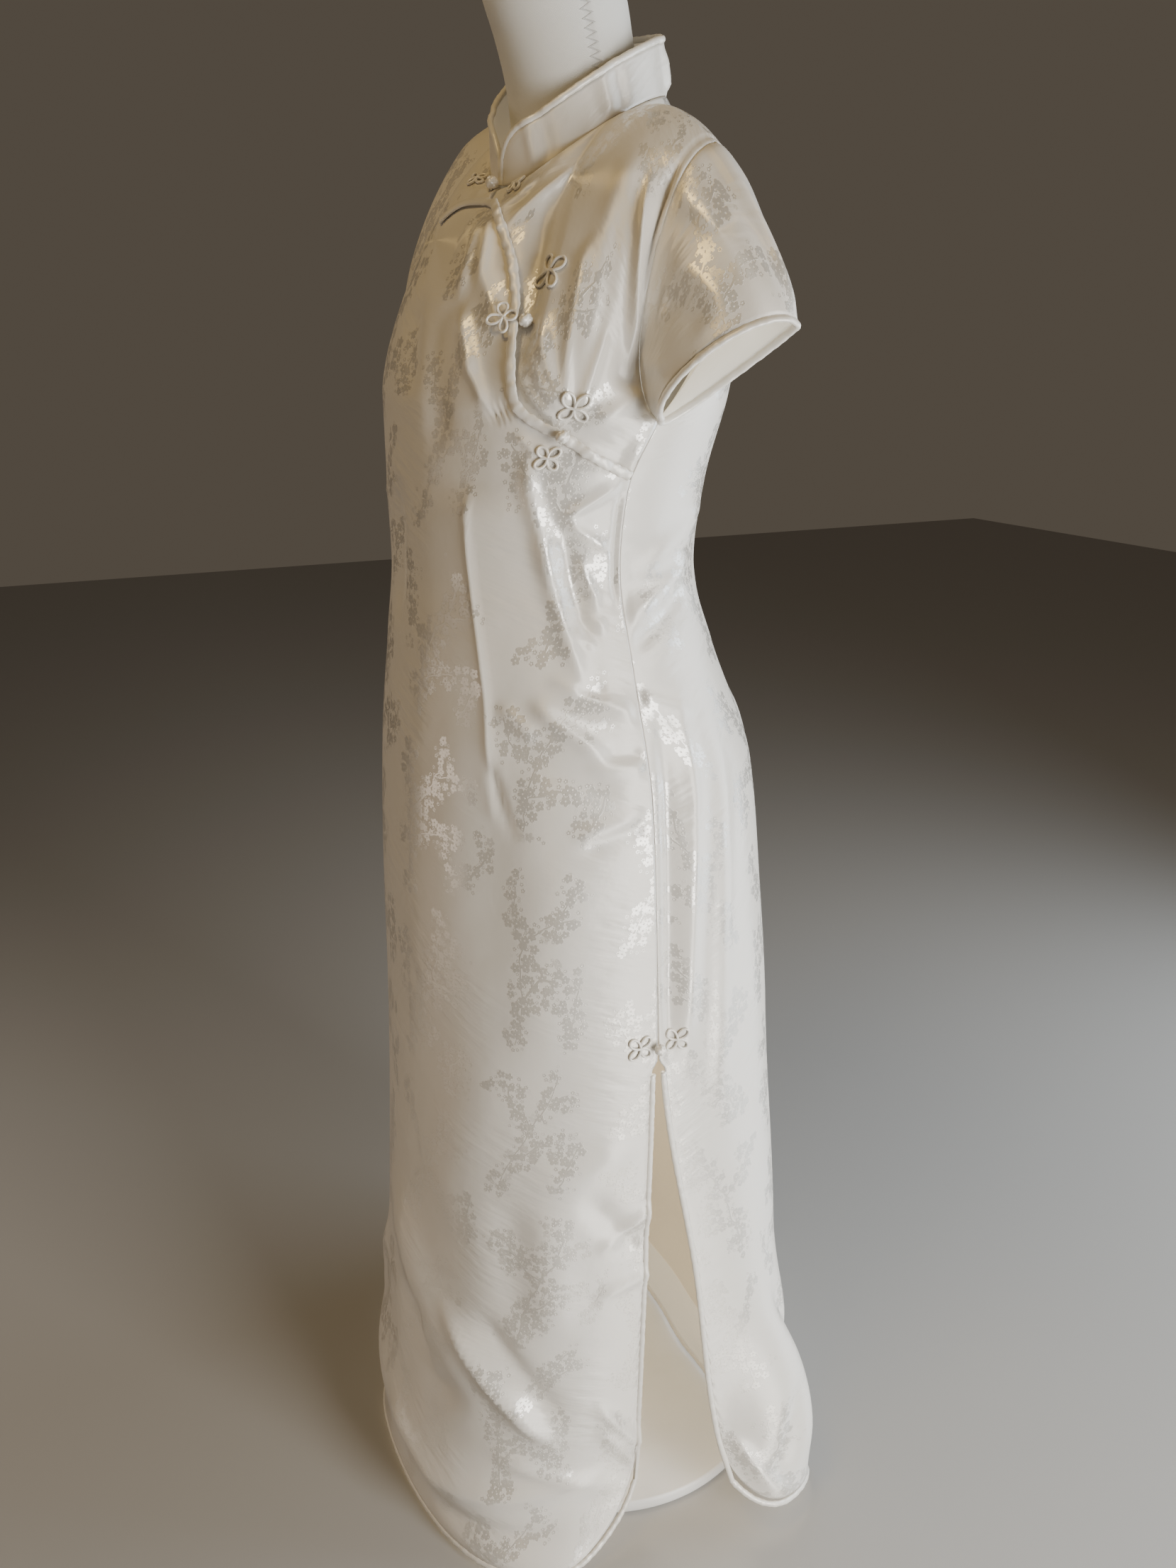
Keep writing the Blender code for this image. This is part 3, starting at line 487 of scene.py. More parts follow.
# Folds and creases: each is a ridge (depth above 0) or a trough along a line from a to b. Its columns
# are across_a, up_a, across_b, up_b, width, depth and crisp, 0 for a round fold and 1 for a pinched one.
FRONT_FOLDS = (
    (-0.1, 0.36, 0.5, 0.15, 0.032, 0.01, 0),
    (0.05, 0.25, 0.4, 0.14, 0.03, -0.008, 0),
    (-0.6, 0.1, 0.75, 0.055, 0.035, 0.01, 0),
    (-0.55, 0.3, -0.7, 0.0, 0.04, 0.013, 0),
    (-0.25, 0.12, -0.32, 0.0, 0.03, -0.008, 0),
    (0.95, 0.48, 0.6, 0.43, 0.02, 0.004, 0),
    (-0.72, 1.15, -0.62, 1.28, 0.045, 0.009, 0),
    (0.8, 1.13, 0.74, 1.26, 0.022, 0.006, 0),
    (0.64, 0.892, 0.89, 0.84, 0.009, 0.0067, 0.6),
    (0.54, 0.886, 0.68, 0.858, 0.007, 0.0039, 0.6),
    (0.74, 0.777, 0.99, 0.798, 0.009, 0.0034, 0.3),
    (0.75, 0.765, 1, 0.786, 0.008, -0.0028, 0.3),
    (0.7, 0.908, 1.04, 0.87, 0.008, 0.0048, 0.5),
    (0.79, 0.899, 0.91, 0.893, 0.005, -0.0034, 0.7),
    (0.84, 0.847, 1.06, 0.843, 0.006, -0.0034, 0.4),
    (0.79, 0.836, 1.06, 0.832, 0.008, 0.0031, 0.4),
    (0.51, 0.857, 0.94, 0.81, 0.016, -0.0032, 0),
    (0.61, 1.096, 0.79, 0.968, 0.01, 0.0064, 0.6),
    (0.7, 1.03, 0.84, 0.89, 0.01, 0.0062, 0.6),
    (0.78, 1.032, 0.88, 0.925, 0.01, -0.0048, 0.2),
    (0.77, 1.03, 0.99, 1.063, 0.006, 0.0036, 0.5),
    (0.78, 1.031, 0.97, 1.004, 0.006, 0.0036, 0.5),
    (0.84, 1.001, 0.92, 0.958, 0.006, 0.0036, 0.6),
    (0.84, 0.957, 0.94, 0.944, 0.005, 0.0028, 0.6),
    (0.81, 0.947, 0.89, 0.929, 0.005, 0.0025, 0.6),
    (0.5, 0.842, 0.59, 0.766, 0.006, -0.0026, 0.6),
    (0.48, 0.838, 0.515, 0.782, 0.006, 0.0016, 0.5),
    (0.53, 0.844, 0.59, 0.782, 0.005, 0.0018, 0.6),
    (0.53, 0.96, 0.49, 0.61, 0.03, -0.004, 0),
    (0.76, 0.78, 0.62, 0.54, 0.03, 0.0035, 0),
    (0.53, 0.6, 0.25, 0.34, 0.04, 0.0045, 0),
    (0.28, 0.284, 0.74, 0.122, 0.011, 0.0112, 0.6),
    (0.42, 0.292, 0.76, 0.15, 0.014, -0.0084, 0.1),
    (0.2, 0.24, 0.3, 0.16, 0.012, 0.0049, 0.3),
    (0.22, 0.056, 0.95, 0.091, 0.013, 0.007, 0.4),
    (0.25, 0.03, 0.78, 0.036, 0.01, -0.0056, 0.2),
    (0.48, 0.126, 0.97, 0.058, 0.008, 0.0048, 0.5),
    (0, 0.09, 0.42, 0.05, 0.012, 0.0063, 0.4),
    (0.82, 0.18, 1.03, 0.086, 0.007, 0.0053, 0.7),
    (0.83, 0.149, 1.02, 0.064, 0.007, 0.0039, 0.6),
    (0.2, 0.013, 0.93, 0.006, 0.008, 0.003, 0),
    (0.81, 0.358, 1.03, 0.402, 0.008, 0.0036, 0.5),
    (0.81, 0.307, 1.04, 0.324, 0.008, 0.0036, 0.5),
    (0.76, 0.434, 0.99, 0.34, 0.012, -0.0048, 0.2),
    (0.67, 0.44, 0.69, 0.25, 0.02, 0.0045, 0),
    (0.55, 0.44, 0.58, 0.26, 0.022, -0.0045, 0),
    (0.12, 1.253, 0.21, 1.18, 0.006, 0.0048, 0.5),
    (0.16, 1.248, 0.27, 1.186, 0.006, 0.0048, 0.5),
    (0.23, 1.203, 0.41, 1.162, 0.006, 0.0036, 0.5),
    (0.02, 1.31, 0.05, 1.276, 0.005, 0.0032, 0.4),
    (-0.05, 1.31, -0.04, 1.272, 0.005, 0.0028, 0.4),
    (0.06, 1.262, 0.1, 1.215, 0.004, 0.0026, 0.4),
    (0.21, 1.184, 0.38, 1.136, 0.007, 0.0056, 0.5),
    (0.32, 1.152, 0.47, 1.116, 0.006, 0.0048, 0.5),
    (-0.06, 1.2, 0.1, 1.12, 0.014, -0.0045, 0),
    (0.15, 1.195, 0.3, 1.075, 0.014, -0.0045, 0),
    (0.0, 1.06, -0.05, 0.92, 0.02, -0.0045, 0),
    (0.455, 1.108, 0.55, 1.12, 0.004, -0.0034, 0.6),
    (0.49, 1.152, 0.71, 1.102, 0.006, 0.0045, 0.5),
    (0.51, 1.162, 0.72, 1.112, 0.006, 0.0042, 0.5),
    (0.53, 1.174, 0.73, 1.118, 0.006, 0.0039, 0.5),
    (0.67, 1.172, 0.72, 1.118, 0.006, 0.0039, 0.5),
    (0.83, 1.174, 0.74, 1.112, 0.006, 0.0039, 0.5),
    (1.04, 1.141, 0.75, 1.104, 0.007, 0.0042, 0.4),
    (0.75, 1.24, 0.81, 1.136, 0.015, -0.005, 0),
    (0.86, 1.25, 0.98, 1.15, 0.01, 0.0098, 0.3),
    (0.955, 1.266, 1, 1.18, 0.007, -0.0084, 0.3),
    (0.85, 1.147, 1.04, 1.137, 0.006, -0.0036, 0.4),
    (0.2, 1.23, 0.46, 1.242, 0.007, 0.0048, 0.4),
    (0.13, 1.253, 0.27, 1.257, 0.006, 0.0034, 0.4),
    (0.34, 1.236, 0.53, 1.162, 0.01, -0.0039, 0.2),
    (0.64, 1.208, 0.69, 1.158, 0.01, 0.0039, 0.2),
    (0.56, 1.099, 0.68, 1.081, 0.004, 0.0024, 0.6),
    (0.76, 1.09, 0.92, 1.068, 0.005, 0.0028, 0.6),
    (-0.62, 1.085, -0.82, 0.91, 0.01, 0.0059, 0.5),
    (-0.68, 0.893, -1.02, 0.855, 0.008, 0.0045, 0.5),
    (-0.72, 0.852, -1.02, 0.835, 0.008, -0.0036, 0.4),
    (-0.5, 0.84, -0.58, 0.775, 0.006, -0.0039, 0.5),
    (-0.45, 1.16, -0.85, 1.11, 0.008, 0.0042, 0.5),
    (-0.95, 1.255, -0.8, 1.15, 0.012, 0.0063, 0.3),
    (-0.85, 0.3, -0.95, 0.12, 0.012, 0.0056, 0.3),
    (-0.2, 0.26, -0.5, 0.06, 0.014, 0.007, 0.4),
)
BACK_FOLDS = (
    (0.6, 0.3, 0.74, 0.0, 0.052, 0.054, 0),
    (-0.6, 0.3, -0.72, 0.0, 0.052, 0.038, 0),
    (0.1, 0.38, 0.05, 0.0, 0.045, -0.006, 0),
    (0.72, 0.9, 0.8, 0.45, 0.012, 0.004, 0),
    (1.04, 0.945, 0.58, 0.998, 0.012, 0.0056, 0.3),
    (1.02, 0.925, 0.64, 0.97, 0.01, -0.0048, 0.3),
    (0.96, 0.985, 0.48, 1.04, 0.012, 0.0048, 0.3),
    (0.44, 0.97, 0.13, 0.845, 0.014, -0.0077, 0.4),
    (0.17, 0.89, 0.11, 0.66, 0.012, -0.0063, 0.3),
    (0.24, 0.9, 0.19, 0.64, 0.01, 0.0056, 0.3),
    (0.84, 0.905, 0.92, 0.52, 0.01, 0.006, 0.4),
    (0.94, 0.89, 0.97, 0.52, 0.008, -0.0044, 0.2),
    (1.04, 0.895, 0.78, 0.868, 0.007, 0.0039, 0.4),
    (0.69, 0.26, 0.51, 0.08, 0.012, -0.0091, 0.4),
    (0.52, 0.125, 0.61, 0.04, 0.01, -0.007, 0.4),
    (0.69, 0.15, 0.88, 0.04, 0.01, -0.0084, 0.3),
    (0.38, 0.2, 0.46, 0.02, 0.012, -0.007, 0.3),
    (0.94, 0.12, 0.87, 0.02, 0.008, 0.0056, 0.4),
    (0.36, 1.045, 0.02, 1.095, 0.012, 0.0042, 0.3),
    (-1.04, 0.945, -0.58, 0.998, 0.012, 0.0056, 0.3),
    (-0.96, 0.985, -0.45, 1.04, 0.012, 0.0048, 0.3),
    (-0.4, 0.96, -0.12, 0.85, 0.014, -0.0056, 0.3),
    (-0.95, 1.24, -0.75, 1.13, 0.012, 0.0063, 0.3),
    (0.95, 1.24, 0.75, 1.13, 0.012, 0.0063, 0.3),
    (-0.5, 0.25, -0.6, 0.03, 0.012, -0.0084, 0.3),
    (0.15, 1.22, 0.3, 1.08, 0.014, 0.0049, 0.2),
    (-0.15, 1.22, -0.3, 1.08, 0.014, 0.0049, 0.2),
)

# The seam line of the waist dart on the wearer's left; the right one mirrors it.
DART_COLUMNS = ("up", "across")
DART = (
    (0.79, 0.51), (0.829, 0.51), (0.879, 0.51), (0.919, 0.5), (0.974, 0.475), (1.014, 0.461), (1.06, 0.45),
)


def neck_point(turn):
    """A point of the neckline: turn is 0 at the nape and pi at the throat, positive on the left."""
    turn = np.asarray(turn, float)
    x = 0.065 * np.sin(turn)
    y = -0.031 + 0.075 * np.cos(turn)
    z = 1.322 + 0.038 * np.cos(turn) + 0.020 * np.sin(turn) ** 2
    return np.stack([x, y, z], axis=-1)


def section_table(panel):
    """x and y on a grid of levels and shares of the way round, even in distance along the cloth."""
    levels = np.linspace(0, UNDERARM_Z, 281)
    shares = np.linspace(0, 1, 161)
    turn = np.linspace(0, 1, 500) ** 0.8 * math.pi / 2
    half, mid_y, edge_y, roundness = (
        read(SECTIONS[panel], SECTION_COLUMNS, name, levels)[:, None] for name in SECTION_COLUMNS[1:]
    )
    x = half * np.sin(turn)
    y = edge_y + (mid_y - edge_y) * np.abs(np.cos(turn)) ** roundness
    along = np.concatenate([np.zeros((len(levels), 1)), np.cumsum(np.hypot(np.diff(x), np.diff(y)), 1)], 1)
    even_x = np.stack([np.interp(shares * a[-1], a, row) for a, row in zip(along, x)])
    even_y = np.stack([np.interp(shares * a[-1], a, row) for a, row in zip(along, y)])
    return even_x, even_y, along[:, -1]


TABLES = {panel: section_table(panel) for panel in SECTIONS}


def girth(panel, z):
    """The distance round the panel from its middle to its edge."""
    return np.interp(z, np.linspace(0, UNDERARM_Z, 281), TABLES[panel][2])


def skirt_point(panel, across, z):
    """A point below the underarm, read between the levels and shares of the panel's table."""
    even_x, even_y, _ = TABLES[panel]
    i = np.clip(z / UNDERARM_Z, 0, 1) * 280
    j = np.clip(np.abs(across), 0, 1) * 160
    i0, j0 = np.minimum(i.astype(int), 279), np.minimum(j.astype(int), 159)
    s, t = i - i0, j - j0

    def between(e):
        near = e[i0, j0] * (1 - s) + e[i0 + 1, j0] * s
        return near * (1 - t) + (e[i0, j0 + 1] * (1 - s) + e[i0 + 1, j0 + 1] * s) * t

    x, y = between(even_x), between(even_y)
    return np.stack([np.copysign(x, across), y, z], axis=-1)


def top_point(panel, across):
    """A point where the panel ends above: on the neckline, then along the shoulder seam."""
    share = np.abs(across) / NECK_SHARE
    quarter = np.minimum(share, 1) * math.pi / 2
    on_neck = neck_point(quarter if panel == "back" else math.pi - quarter)
    along = np.clip((share - 1) / (1 / NECK_SHARE - 1), 0, 1)
    start = neck_point(math.pi / 2)
    on_shoulder = start + (np.array([0.156, -0.016, 1.322]) - start) * along[..., None]
    on_shoulder[..., 2] += 0.014 * np.sin(math.pi * along)
    point = np.where((share <= 1)[..., None], on_neck, on_shoulder)
    point[..., 0] = np.copysign(point[..., 0], across)
    return point


def base_point(panel, across, up):
    """A point of the cloth before its folds: the skirt's section, or a cubic above the underarm."""
    across, up = np.broadcast_arrays(np.asarray(across, float), np.asarray(up, float))
    z = HEM_Z + up
    low = skirt_point(panel, across, np.minimum(z, UNDERARM_Z))
    rise = np.clip((z - UNDERARM_Z) / BODICE_RISE, 0, 1)[..., None]
    start = skirt_point(panel, across, np.full_like(across, UNDERARM_Z))
    leave_y, leave_z, arrive_y, arrive_z = (
        read(TANGENTS[panel], TANGENT_COLUMNS, name, np.abs(across)) for name in TANGENT_COLUMNS[1:]
    )
    inward = -0.05 * smoothstep(0.7, 1.0, np.abs(across)) * np.sign(across)
    leave = np.stack([inward, leave_y, leave_z], axis=-1)
    arrive = np.stack([np.zeros_like(across), arrive_y, arrive_z], axis=-1)
    high = hermite(start, top_point(panel, across), leave, arrive, rise)
    return np.where((z <= UNDERARM_Z)[..., None], low, high)


def base_normal(panel, across, up):
    """The outward direction of the cloth at a point."""
    high, low = np.minimum(up + 0.004, TOP), np.maximum(up - 0.004, 0.0)
    left, right = np.minimum(across + 0.01, 0.999), np.maximum(across - 0.01, -0.999)
    rising = base_point(panel, across, high) - base_point(panel, across, low)
    going = base_point(panel, left, up) - base_point(panel, right, up)
    return unit(np.cross(going, rising)) * -SIDE[panel]


def from_line(x, y, line):
    """The share of the way along a line, held between its ends, and the distance from it."""
    share = np.clip((x * line[0] + y * line[1]) / (line @ line), 0, 1)
    return share, np.hypot(x - share * line[0], y - share * line[1])


def fold_depth(panel, across, up):
    """How far the folds move the cloth out: each falls off as a bell to the sides of its line."""
    depth = np.zeros(np.broadcast(across, up).shape)
    free = np.maximum(smoothstep(0, 0.012, (1 - np.abs(across)) * EDGE_REACH), 1 - smoothstep(0.50, 0.56, up))
    rows = FRONT_FOLDS if panel == "front" else BACK_FOLDS
    for across_a, up_a, across_b, up_b, width, height, crisp in rows:
        line = np.array([(across_b - across_a) * REACH, up_b - up_a])
        share, away = from_line((across - across_a) * REACH, up - up_a, line)
        away = away / width
        fade = smoothstep(0, 0.3, share) * smoothstep(0, 0.3, 1 - share)
        if up_b == 0:
            fade = smoothstep(0, 0.8, share)
        bell = np.exp(-away * away) * (1 - crisp) + np.exp(-np.hypot(away * 1.6, 0.25) + 0.25) * crisp
        depth += height * fade * bell * free
    return depth + seam_depth(panel, across, up)


def seam_depth(panel, across, up):
    """Sewn lines: the front's darts stand up as ridges, armhole and slit stitching sinks and puckers."""
    edge_off = (1 - np.abs(across)) * EDGE_REACH
    pucker = np.sin(up * 760) * np.sin(up * 331 + 1) * np.exp(-((edge_off / 0.010) ** 2)) * 0.0007
    armhole = np.exp(-(((edge_off - 0.009) / 0.0022) ** 2)) * smoothstep(UNDERARM_UP, UNDERARM_UP + 0.02, up)
    slit = np.exp(-(((edge_off - 0.0055) / 0.0018) ** 2)) * (1 - smoothstep(0.53, 0.56, up))
    depth = pucker * smoothstep(0.0, 0.02, edge_off + 0.004) - 0.0011 * armhole - 0.0005 * slit
    if panel == "back":
        return depth
    off = (np.abs(across) - read(DART, DART_COLUMNS, "across", up)) * REACH
    sewn = smoothstep(0.795, 0.860, up) * (1 - smoothstep(1.030, 1.062, up))
    open_zip = smoothstep(0.955, 0.985, up) * (1 - smoothstep(1.035, 1.055, up))
    slot = np.exp(-(((edge_off - 0.006) / 0.0030) ** 2)) * open_zip
    ridge = 0.0022 * np.exp(-((off / 0.0030) ** 2)) + 0.0075 * np.exp(-np.hypot(off, 0.003) / 0.030)
    return depth + sewn * ridge - 0.0036 * slot * (across > 0)


def cloth_point(panel, across, up, out=0.0):
    """A point of the cloth's outer face, moved out by a distance."""
    across, up = np.broadcast_arrays(np.asarray(across, float), np.asarray(up, float))
    out = out + fold_depth(panel, across, up)
    return base_point(panel, across, up) + base_normal(panel, across, up) * np.asarray(out)[..., None]


def slit_limit(panel, up):
    """The panel's edge: at the side seam above the slit, and a binding's width inside it below."""
    z = HEM_Z + up
    cut = 0.0058 * (1 - smoothstep(0.555, 0.567, z))
    return 1 - cut / girth(panel, np.minimum(z, UNDERARM_Z))


def hem_up(panel, across):
    """The height of the hem: level, lifted over the base behind, and round its corner to the slit."""
    resting = 0.013 * (1 - smoothstep(0.66, 0.78, np.abs(across))) if panel == "back" else 0.0
    inside = (1 - np.abs(across)) * girth(panel, HEM_Z)
    corner = CORNER - np.sqrt(np.maximum(CORNER**2 - (CORNER - np.minimum(inside, CORNER)) ** 2, 0))
    return np.where(inside >= CORNER, resting, corner)


def opening_up(across):
    """The height of the opening's edge; right of the throat the panel goes up to its top."""
    return np.where(across <= 0, TOP, read(OPENING, OPENING_COLUMNS, "up", across))


HIP_UP = 0.62
WAIST_UP = 1.005


def edge_crowded(count):
    """Places from -1 to 1, closer together towards both ends."""
    even = np.linspace(-1, 1, count)
    return 0.6 * np.sin(even * math.pi / 2) + 0.4 * even


def panel_places(panel, across, top):
    """across and up over a whole panel, in rows that follow its hem and top and crowd at the darts."""
    low = hem_up(panel, across)
    split = np.where(top == TOP, UNDERARM_UP, WAIST_UP + (top - WAIST_UP) * 0.36)
    skirt = low + (HIP_UP - low) * np.linspace(0, 1, 126)[:, None]
    hips = HIP_UP + (WAIST_UP - HIP_UP) * np.linspace(0, 1, 118)[1:, None] + across * 0
    chest = WAIST_UP + (split - WAIST_UP) * np.linspace(0, 1, 24)[1:, None]
    rise = split + (top - split) * np.linspace(0, 1, 64)[1:, None]
    up = np.concatenate([skirt, hips, chest, rise])
    if panel == "front":
        column = np.abs(across[np.argmin(np.abs(np.abs(across) - 0.5))])
        off = np.abs(across) - column
        below = 1 - smoothstep(1.000, 1.065, up)
        pull = (read(DART, DART_COLUMNS, "across", up) - column) * np.exp(-((off / 0.15) ** 2))
        crowd = 1 - 0.65 * below * np.exp(-((off / 0.05) ** 2))
        across = np.copysign(column + off * crowd + pull * below, across)
    return across * slit_limit(panel, up), up


def flat_uv(panel, across, up):
    """Where a place of the panel lies on the uncut cloth, in metres."""
    along = across * girth(panel, np.clip(HEM_Z + up, 0, UNDERARM_Z))
    above = np.maximum(up - UNDERARM_UP, 0)
    return np.stack([along, up + above * 0.12], axis=-1)


# The woven repeat, drawn in millimetres: the branches of one spray, from x, y to x, y in its
# tile. Every other column of tiles is dropped by half, and smooth noise bends the sprays.
TILE = (0.126, 0.170)
SPRAY = (
    (38, 8, 46, 42),
    (46, 42, 58, 78),
    (58, 78, 78, 112),
    (78, 112, 90, 150),
    (46, 42, 74, 58),
    (74, 58, 90, 60),
    (58, 78, 36, 102),
    (36, 102, 30, 126),
    (78, 112, 100, 122),
    (104, 30, 122, 66),
)
BEND = (5.0, 0.125)
TWIST = (40.0, 0.012)


def damask(name, figured=1.0):
    """Satin damask: plum sprays on branches, in a weave that shines the other way from its ground."""
    finish = Finish(name, (0.78, 0.75, 0.69), 0.40, Anisotropic=0.95, Anisotropic_Rotation=0.25)
    finish.set("Coat IOR", 2.3)
    finish.set("Coat Roughness", 0.30)
    flat = finish.uv()

    def warped(at, scale, reach):
        """The place moved by a smooth random step."""
        step = finish.noise(at, scale, 1.0, output="Color").vector("SUBTRACT", (0.5, 0.5, 0.5))
        return finish.node("ShaderNodeVectorMath", {"operation": "MULTIPLY_ADD"}, [step, reach, at])

    def in_tile(at):
        """The place inside its tile of the repeat."""
        u, v = at.part(0), at.part(1)
        shift = (u / TILE[0]).math("FLOOR").math("MODULO", 2.0).math("ABSOLUTE") * TILE[1] / 2
        x = (u / TILE[0]).math("FRACT") * TILE[0]
        y = ((v + shift) / TILE[1]).math("FRACT") * TILE[1]
        return finish.node("ShaderNodeCombineXYZ", {}, [x, y, 0.0])

    def from_branches(at):
        """The distance to the nearest branch of the spray."""
        nearest = None
        for x_a, y_a, x_b, y_b in SPRAY:
            a = np.array([x_a, y_a, 0.0]) / 1000
            along = np.array([x_b, y_b, 0.0]) / 1000 - a
            off = at.vector("SUBTRACT", tuple(a))
            share = off.vector("DOT_PRODUCT", tuple(along / (along @ along)), output="Value")
            share = share.math("ADD", 0.0, clamp=True)
            inputs = {0: tuple(along), "Scale": share}
            foot = finish.node("ShaderNodeVectorMath", {"operation": "SCALE"}, inputs)
            away = off.vector("SUBTRACT", foot).vector("LENGTH", output="Value")
            nearest = away if nearest is None else nearest.math("MINIMUM", away)
        return nearest

    def blossoms(size, reach, petal, seed):
        """Five-petalled flowers at jittered places, where those places lie near a branch."""
        shifted = flat.vector("ADD", (seed, seed * 0.7, 0.0))
        cell = {"Vector": shifted, "Scale": 1 / size, "Randomness": 0.7}
        settings = {"voronoi_dimensions": "2D", "feature": "F1"}
        centre = finish.node("ShaderNodeTexVoronoi", settings, cell, "Position")
        chance = finish.node("ShaderNodeTexVoronoi", settings, cell, "Color").part(0)
        off = shifted.vector("SUBTRACT", centre)
        home = centre.vector("SUBTRACT", (seed, seed * 0.7, 0.0))
        clump = finish.noise(home, 34.0, 1.0)
        near = from_branches(in_tile(warped(home, *BEND))) - (clump - 0.5) * reach * 3.6
        there = near.between(reach, reach * 0.9)
        turn = off.part(1).math("ARCTAN2", off.part(0)) * 2.5 + chance * 6.0
        edge = (turn.math("COSINE").math("ABSOLUTE") * 0.42 + 0.60) * petal * (0.8 + chance * 0.35)
        away = off.vector("LENGTH", output="Value")
        return (away / edge).between(1.05, 0.95) * away.between(0.0005, 0.0010) * there

    big = blossoms(0.0092, 0.0122, 0.0044, 0.31)
    buds = blossoms(0.0060, 0.0150, 0.0018, 0.87)
    line = from_branches(in_tile(warped(warped(flat, *BEND), *TWIST))).between(0.0009, 0.0006)
    figure = big.math("MAXIMUM", buds).math("MAXIMUM", line) * figured
    lustre = finish.noise(flat.vector("MULTIPLY", (1.0, 0.15, 1.0)), 300.0, 3.0)
    finish.set("Base Color", finish.mix(figure, (0.77, 0.735, 0.675), (0.735, 0.70, 0.635)))
    finish.set("Roughness", 0.40 + lustre * 0.08 - figure * 0.04)
    finish.set("Metallic", 0.09 + figure * 0.27)
    finish.set("Coat Weight", figure * 0.9)
    weave = finish.noise(flat, 1400.0, 2.0)
    crumple = finish.noise(flat, 40.0, 3.0)
    slanted = flat.vector("DOT_PRODUCT", (0.35, 0.94, 0.0), output="Value")
    level = flat.vector("DOT_PRODUCT", (0.94, -0.35, 0.0), output="Value")
    streak_at = finish.node("ShaderNodeCombineXYZ", {}, [level * 22, slanted * 95, 0.0])
    streak = finish.noise(streak_at, 1.0, 2.0) * finish.noise(flat, 9.0, 1.0).between(0.42, 0.68)
    finish.bump(figure * 0.35 + weave * 0.10 + crumple * 1.2 + streak * 4.5, 0.0004)
    return finish


brocade = damask("brocade")
plain_brocade = damask("plain_brocade", 0.15)


def silk_lining(name, glow):
    """Plain cream silk with a painted glow standing in for light through it; its facing along the hem is
    lighter and glows more.
    """
    finish = Finish(name, (0.80, 0.74, 0.62), 0.55, Emission_Strength=glow)
    flat = finish.uv()
    facing = flat.part(1).between(0.084, 0.082) * flat.part(1).between(-0.01, 0.0)
    finish.set("Base Color", finish.mix(facing, (0.78, 0.71, 0.58), (0.88, 0.85, 0.78)))
    # Painted glow: an emission standing in for light through the silk, brighter on the facing.
    finish.set("Emission Color", finish.mix(facing, (0.84, 0.74, 0.56), (0.98, 0.94, 0.84)))
    finish.bump(finish.noise(flat, 26.0, 3.0) + facing * 0.4, 0.0015)
    return finish


# Each lining's painted glow strength; the sleeves' lining glows more.
lining = silk_lining("lining", 0.13)
sleeve_lining = silk_lining("sleeve_lining", 0.36)


def make_cloth(name, points, uv, replaced):
    """A lined piece of brocade."""
    return grid_piece(name, points, uv, [brocade, lining], replaced, wall=WALL)


across, up = panel_places("front", edge_crowded(145), opening_up(edge_crowded(145)))
front = make_cloth("front_panel", cloth_point("front", across, up), flat_uv("front", across, up), "front")


# Underlap. The upper left front, which the opening's edge covers by a finger's width.


def underlap_drop(across, up):
    """How far the underlap lies below the cloth's surface: full under the front, none beyond its edge."""
    above = up - opening_up(across)
    slope = (opening_up(across + 0.02) - opening_up(across - 0.02)) / (0.04 * 0.26)
    slope = np.where(across > 0.02, slope, 0.0)
    drop = 0.0050 * (1 - smoothstep(0.010, 0.040, above / np.hypot(1, slope)))
    at_neck = smoothstep(TOP - 0.035, TOP - 0.004, up) * smoothstep(0.02, 0.06, across)
    at_seam = smoothstep(0.93, 0.995, across) * smoothstep(0.0, 0.006, above)
    return drop * (1 - 0.85 * at_neck) * (1 - 0.95 * at_seam)


across = np.linspace(-0.06, 1, 90)
low = np.minimum(opening_up(np.minimum(across + 0.06, 1.0)) - 0.018, TOP - 0.045)
up = low + (TOP - low) * np.linspace(0, 1, 100)[:, None]
across = np.broadcast_to(across, up.shape)
points = cloth_point("front", across, up, -underlap_drop(across, up))
underlap = make_cloth("underlap", points, flat_uv("front", across, up) + 0.043, "underlap")


# Back panel. One piece from hem to shoulder, hanging in deep flutes behind the slits.

across, up = panel_places("back", edge_crowded(145), np.full(145, TOP))
points, uv = cloth_point("back", across, up)[:, ::-1], flat_uv("back", across, up)[:, ::-1]
back = make_cloth("back_panel", points, uv + (0.05, 0.02), "back")


# Collar. A stand collar, lower at the throat with rounded corners and a little crumpled at the nape.

COLLAR_END = math.pi - 0.0035 / 0.065
COLLAR_CREASES = (  # turn, width, depth
    (2.62, 0.0050, 0.0014),
    (2.45, 0.0060, -0.0012),
    (1.78, 0.0050, 0.0016),
    (1.62, 0.0050, -0.0014),
    (0.72, 0.0060, 0.0030),
    (-0.70, 0.0060, 0.0024),
    (-1.90, 0.0060, 0.0014),
    (-2.50, 0.0050, -0.0012),
)


def collar_rise(turn):
    """The collar's height: lower at the throat, where its front corners are rounded off."""
    share = (1 - np.cos(turn)) / 2
    ends = 0.041 + (0.036 - 0.041) * share
    full = ends - (ends - 0.033) * np.sin(turn) ** 2
    inside = np.minimum((COLLAR_END - np.abs(turn)) * 0.075, 0.026)
    return full - 0.026 + np.sqrt(np.maximum(0.026**2 - (0.026 - inside) ** 2, 0))


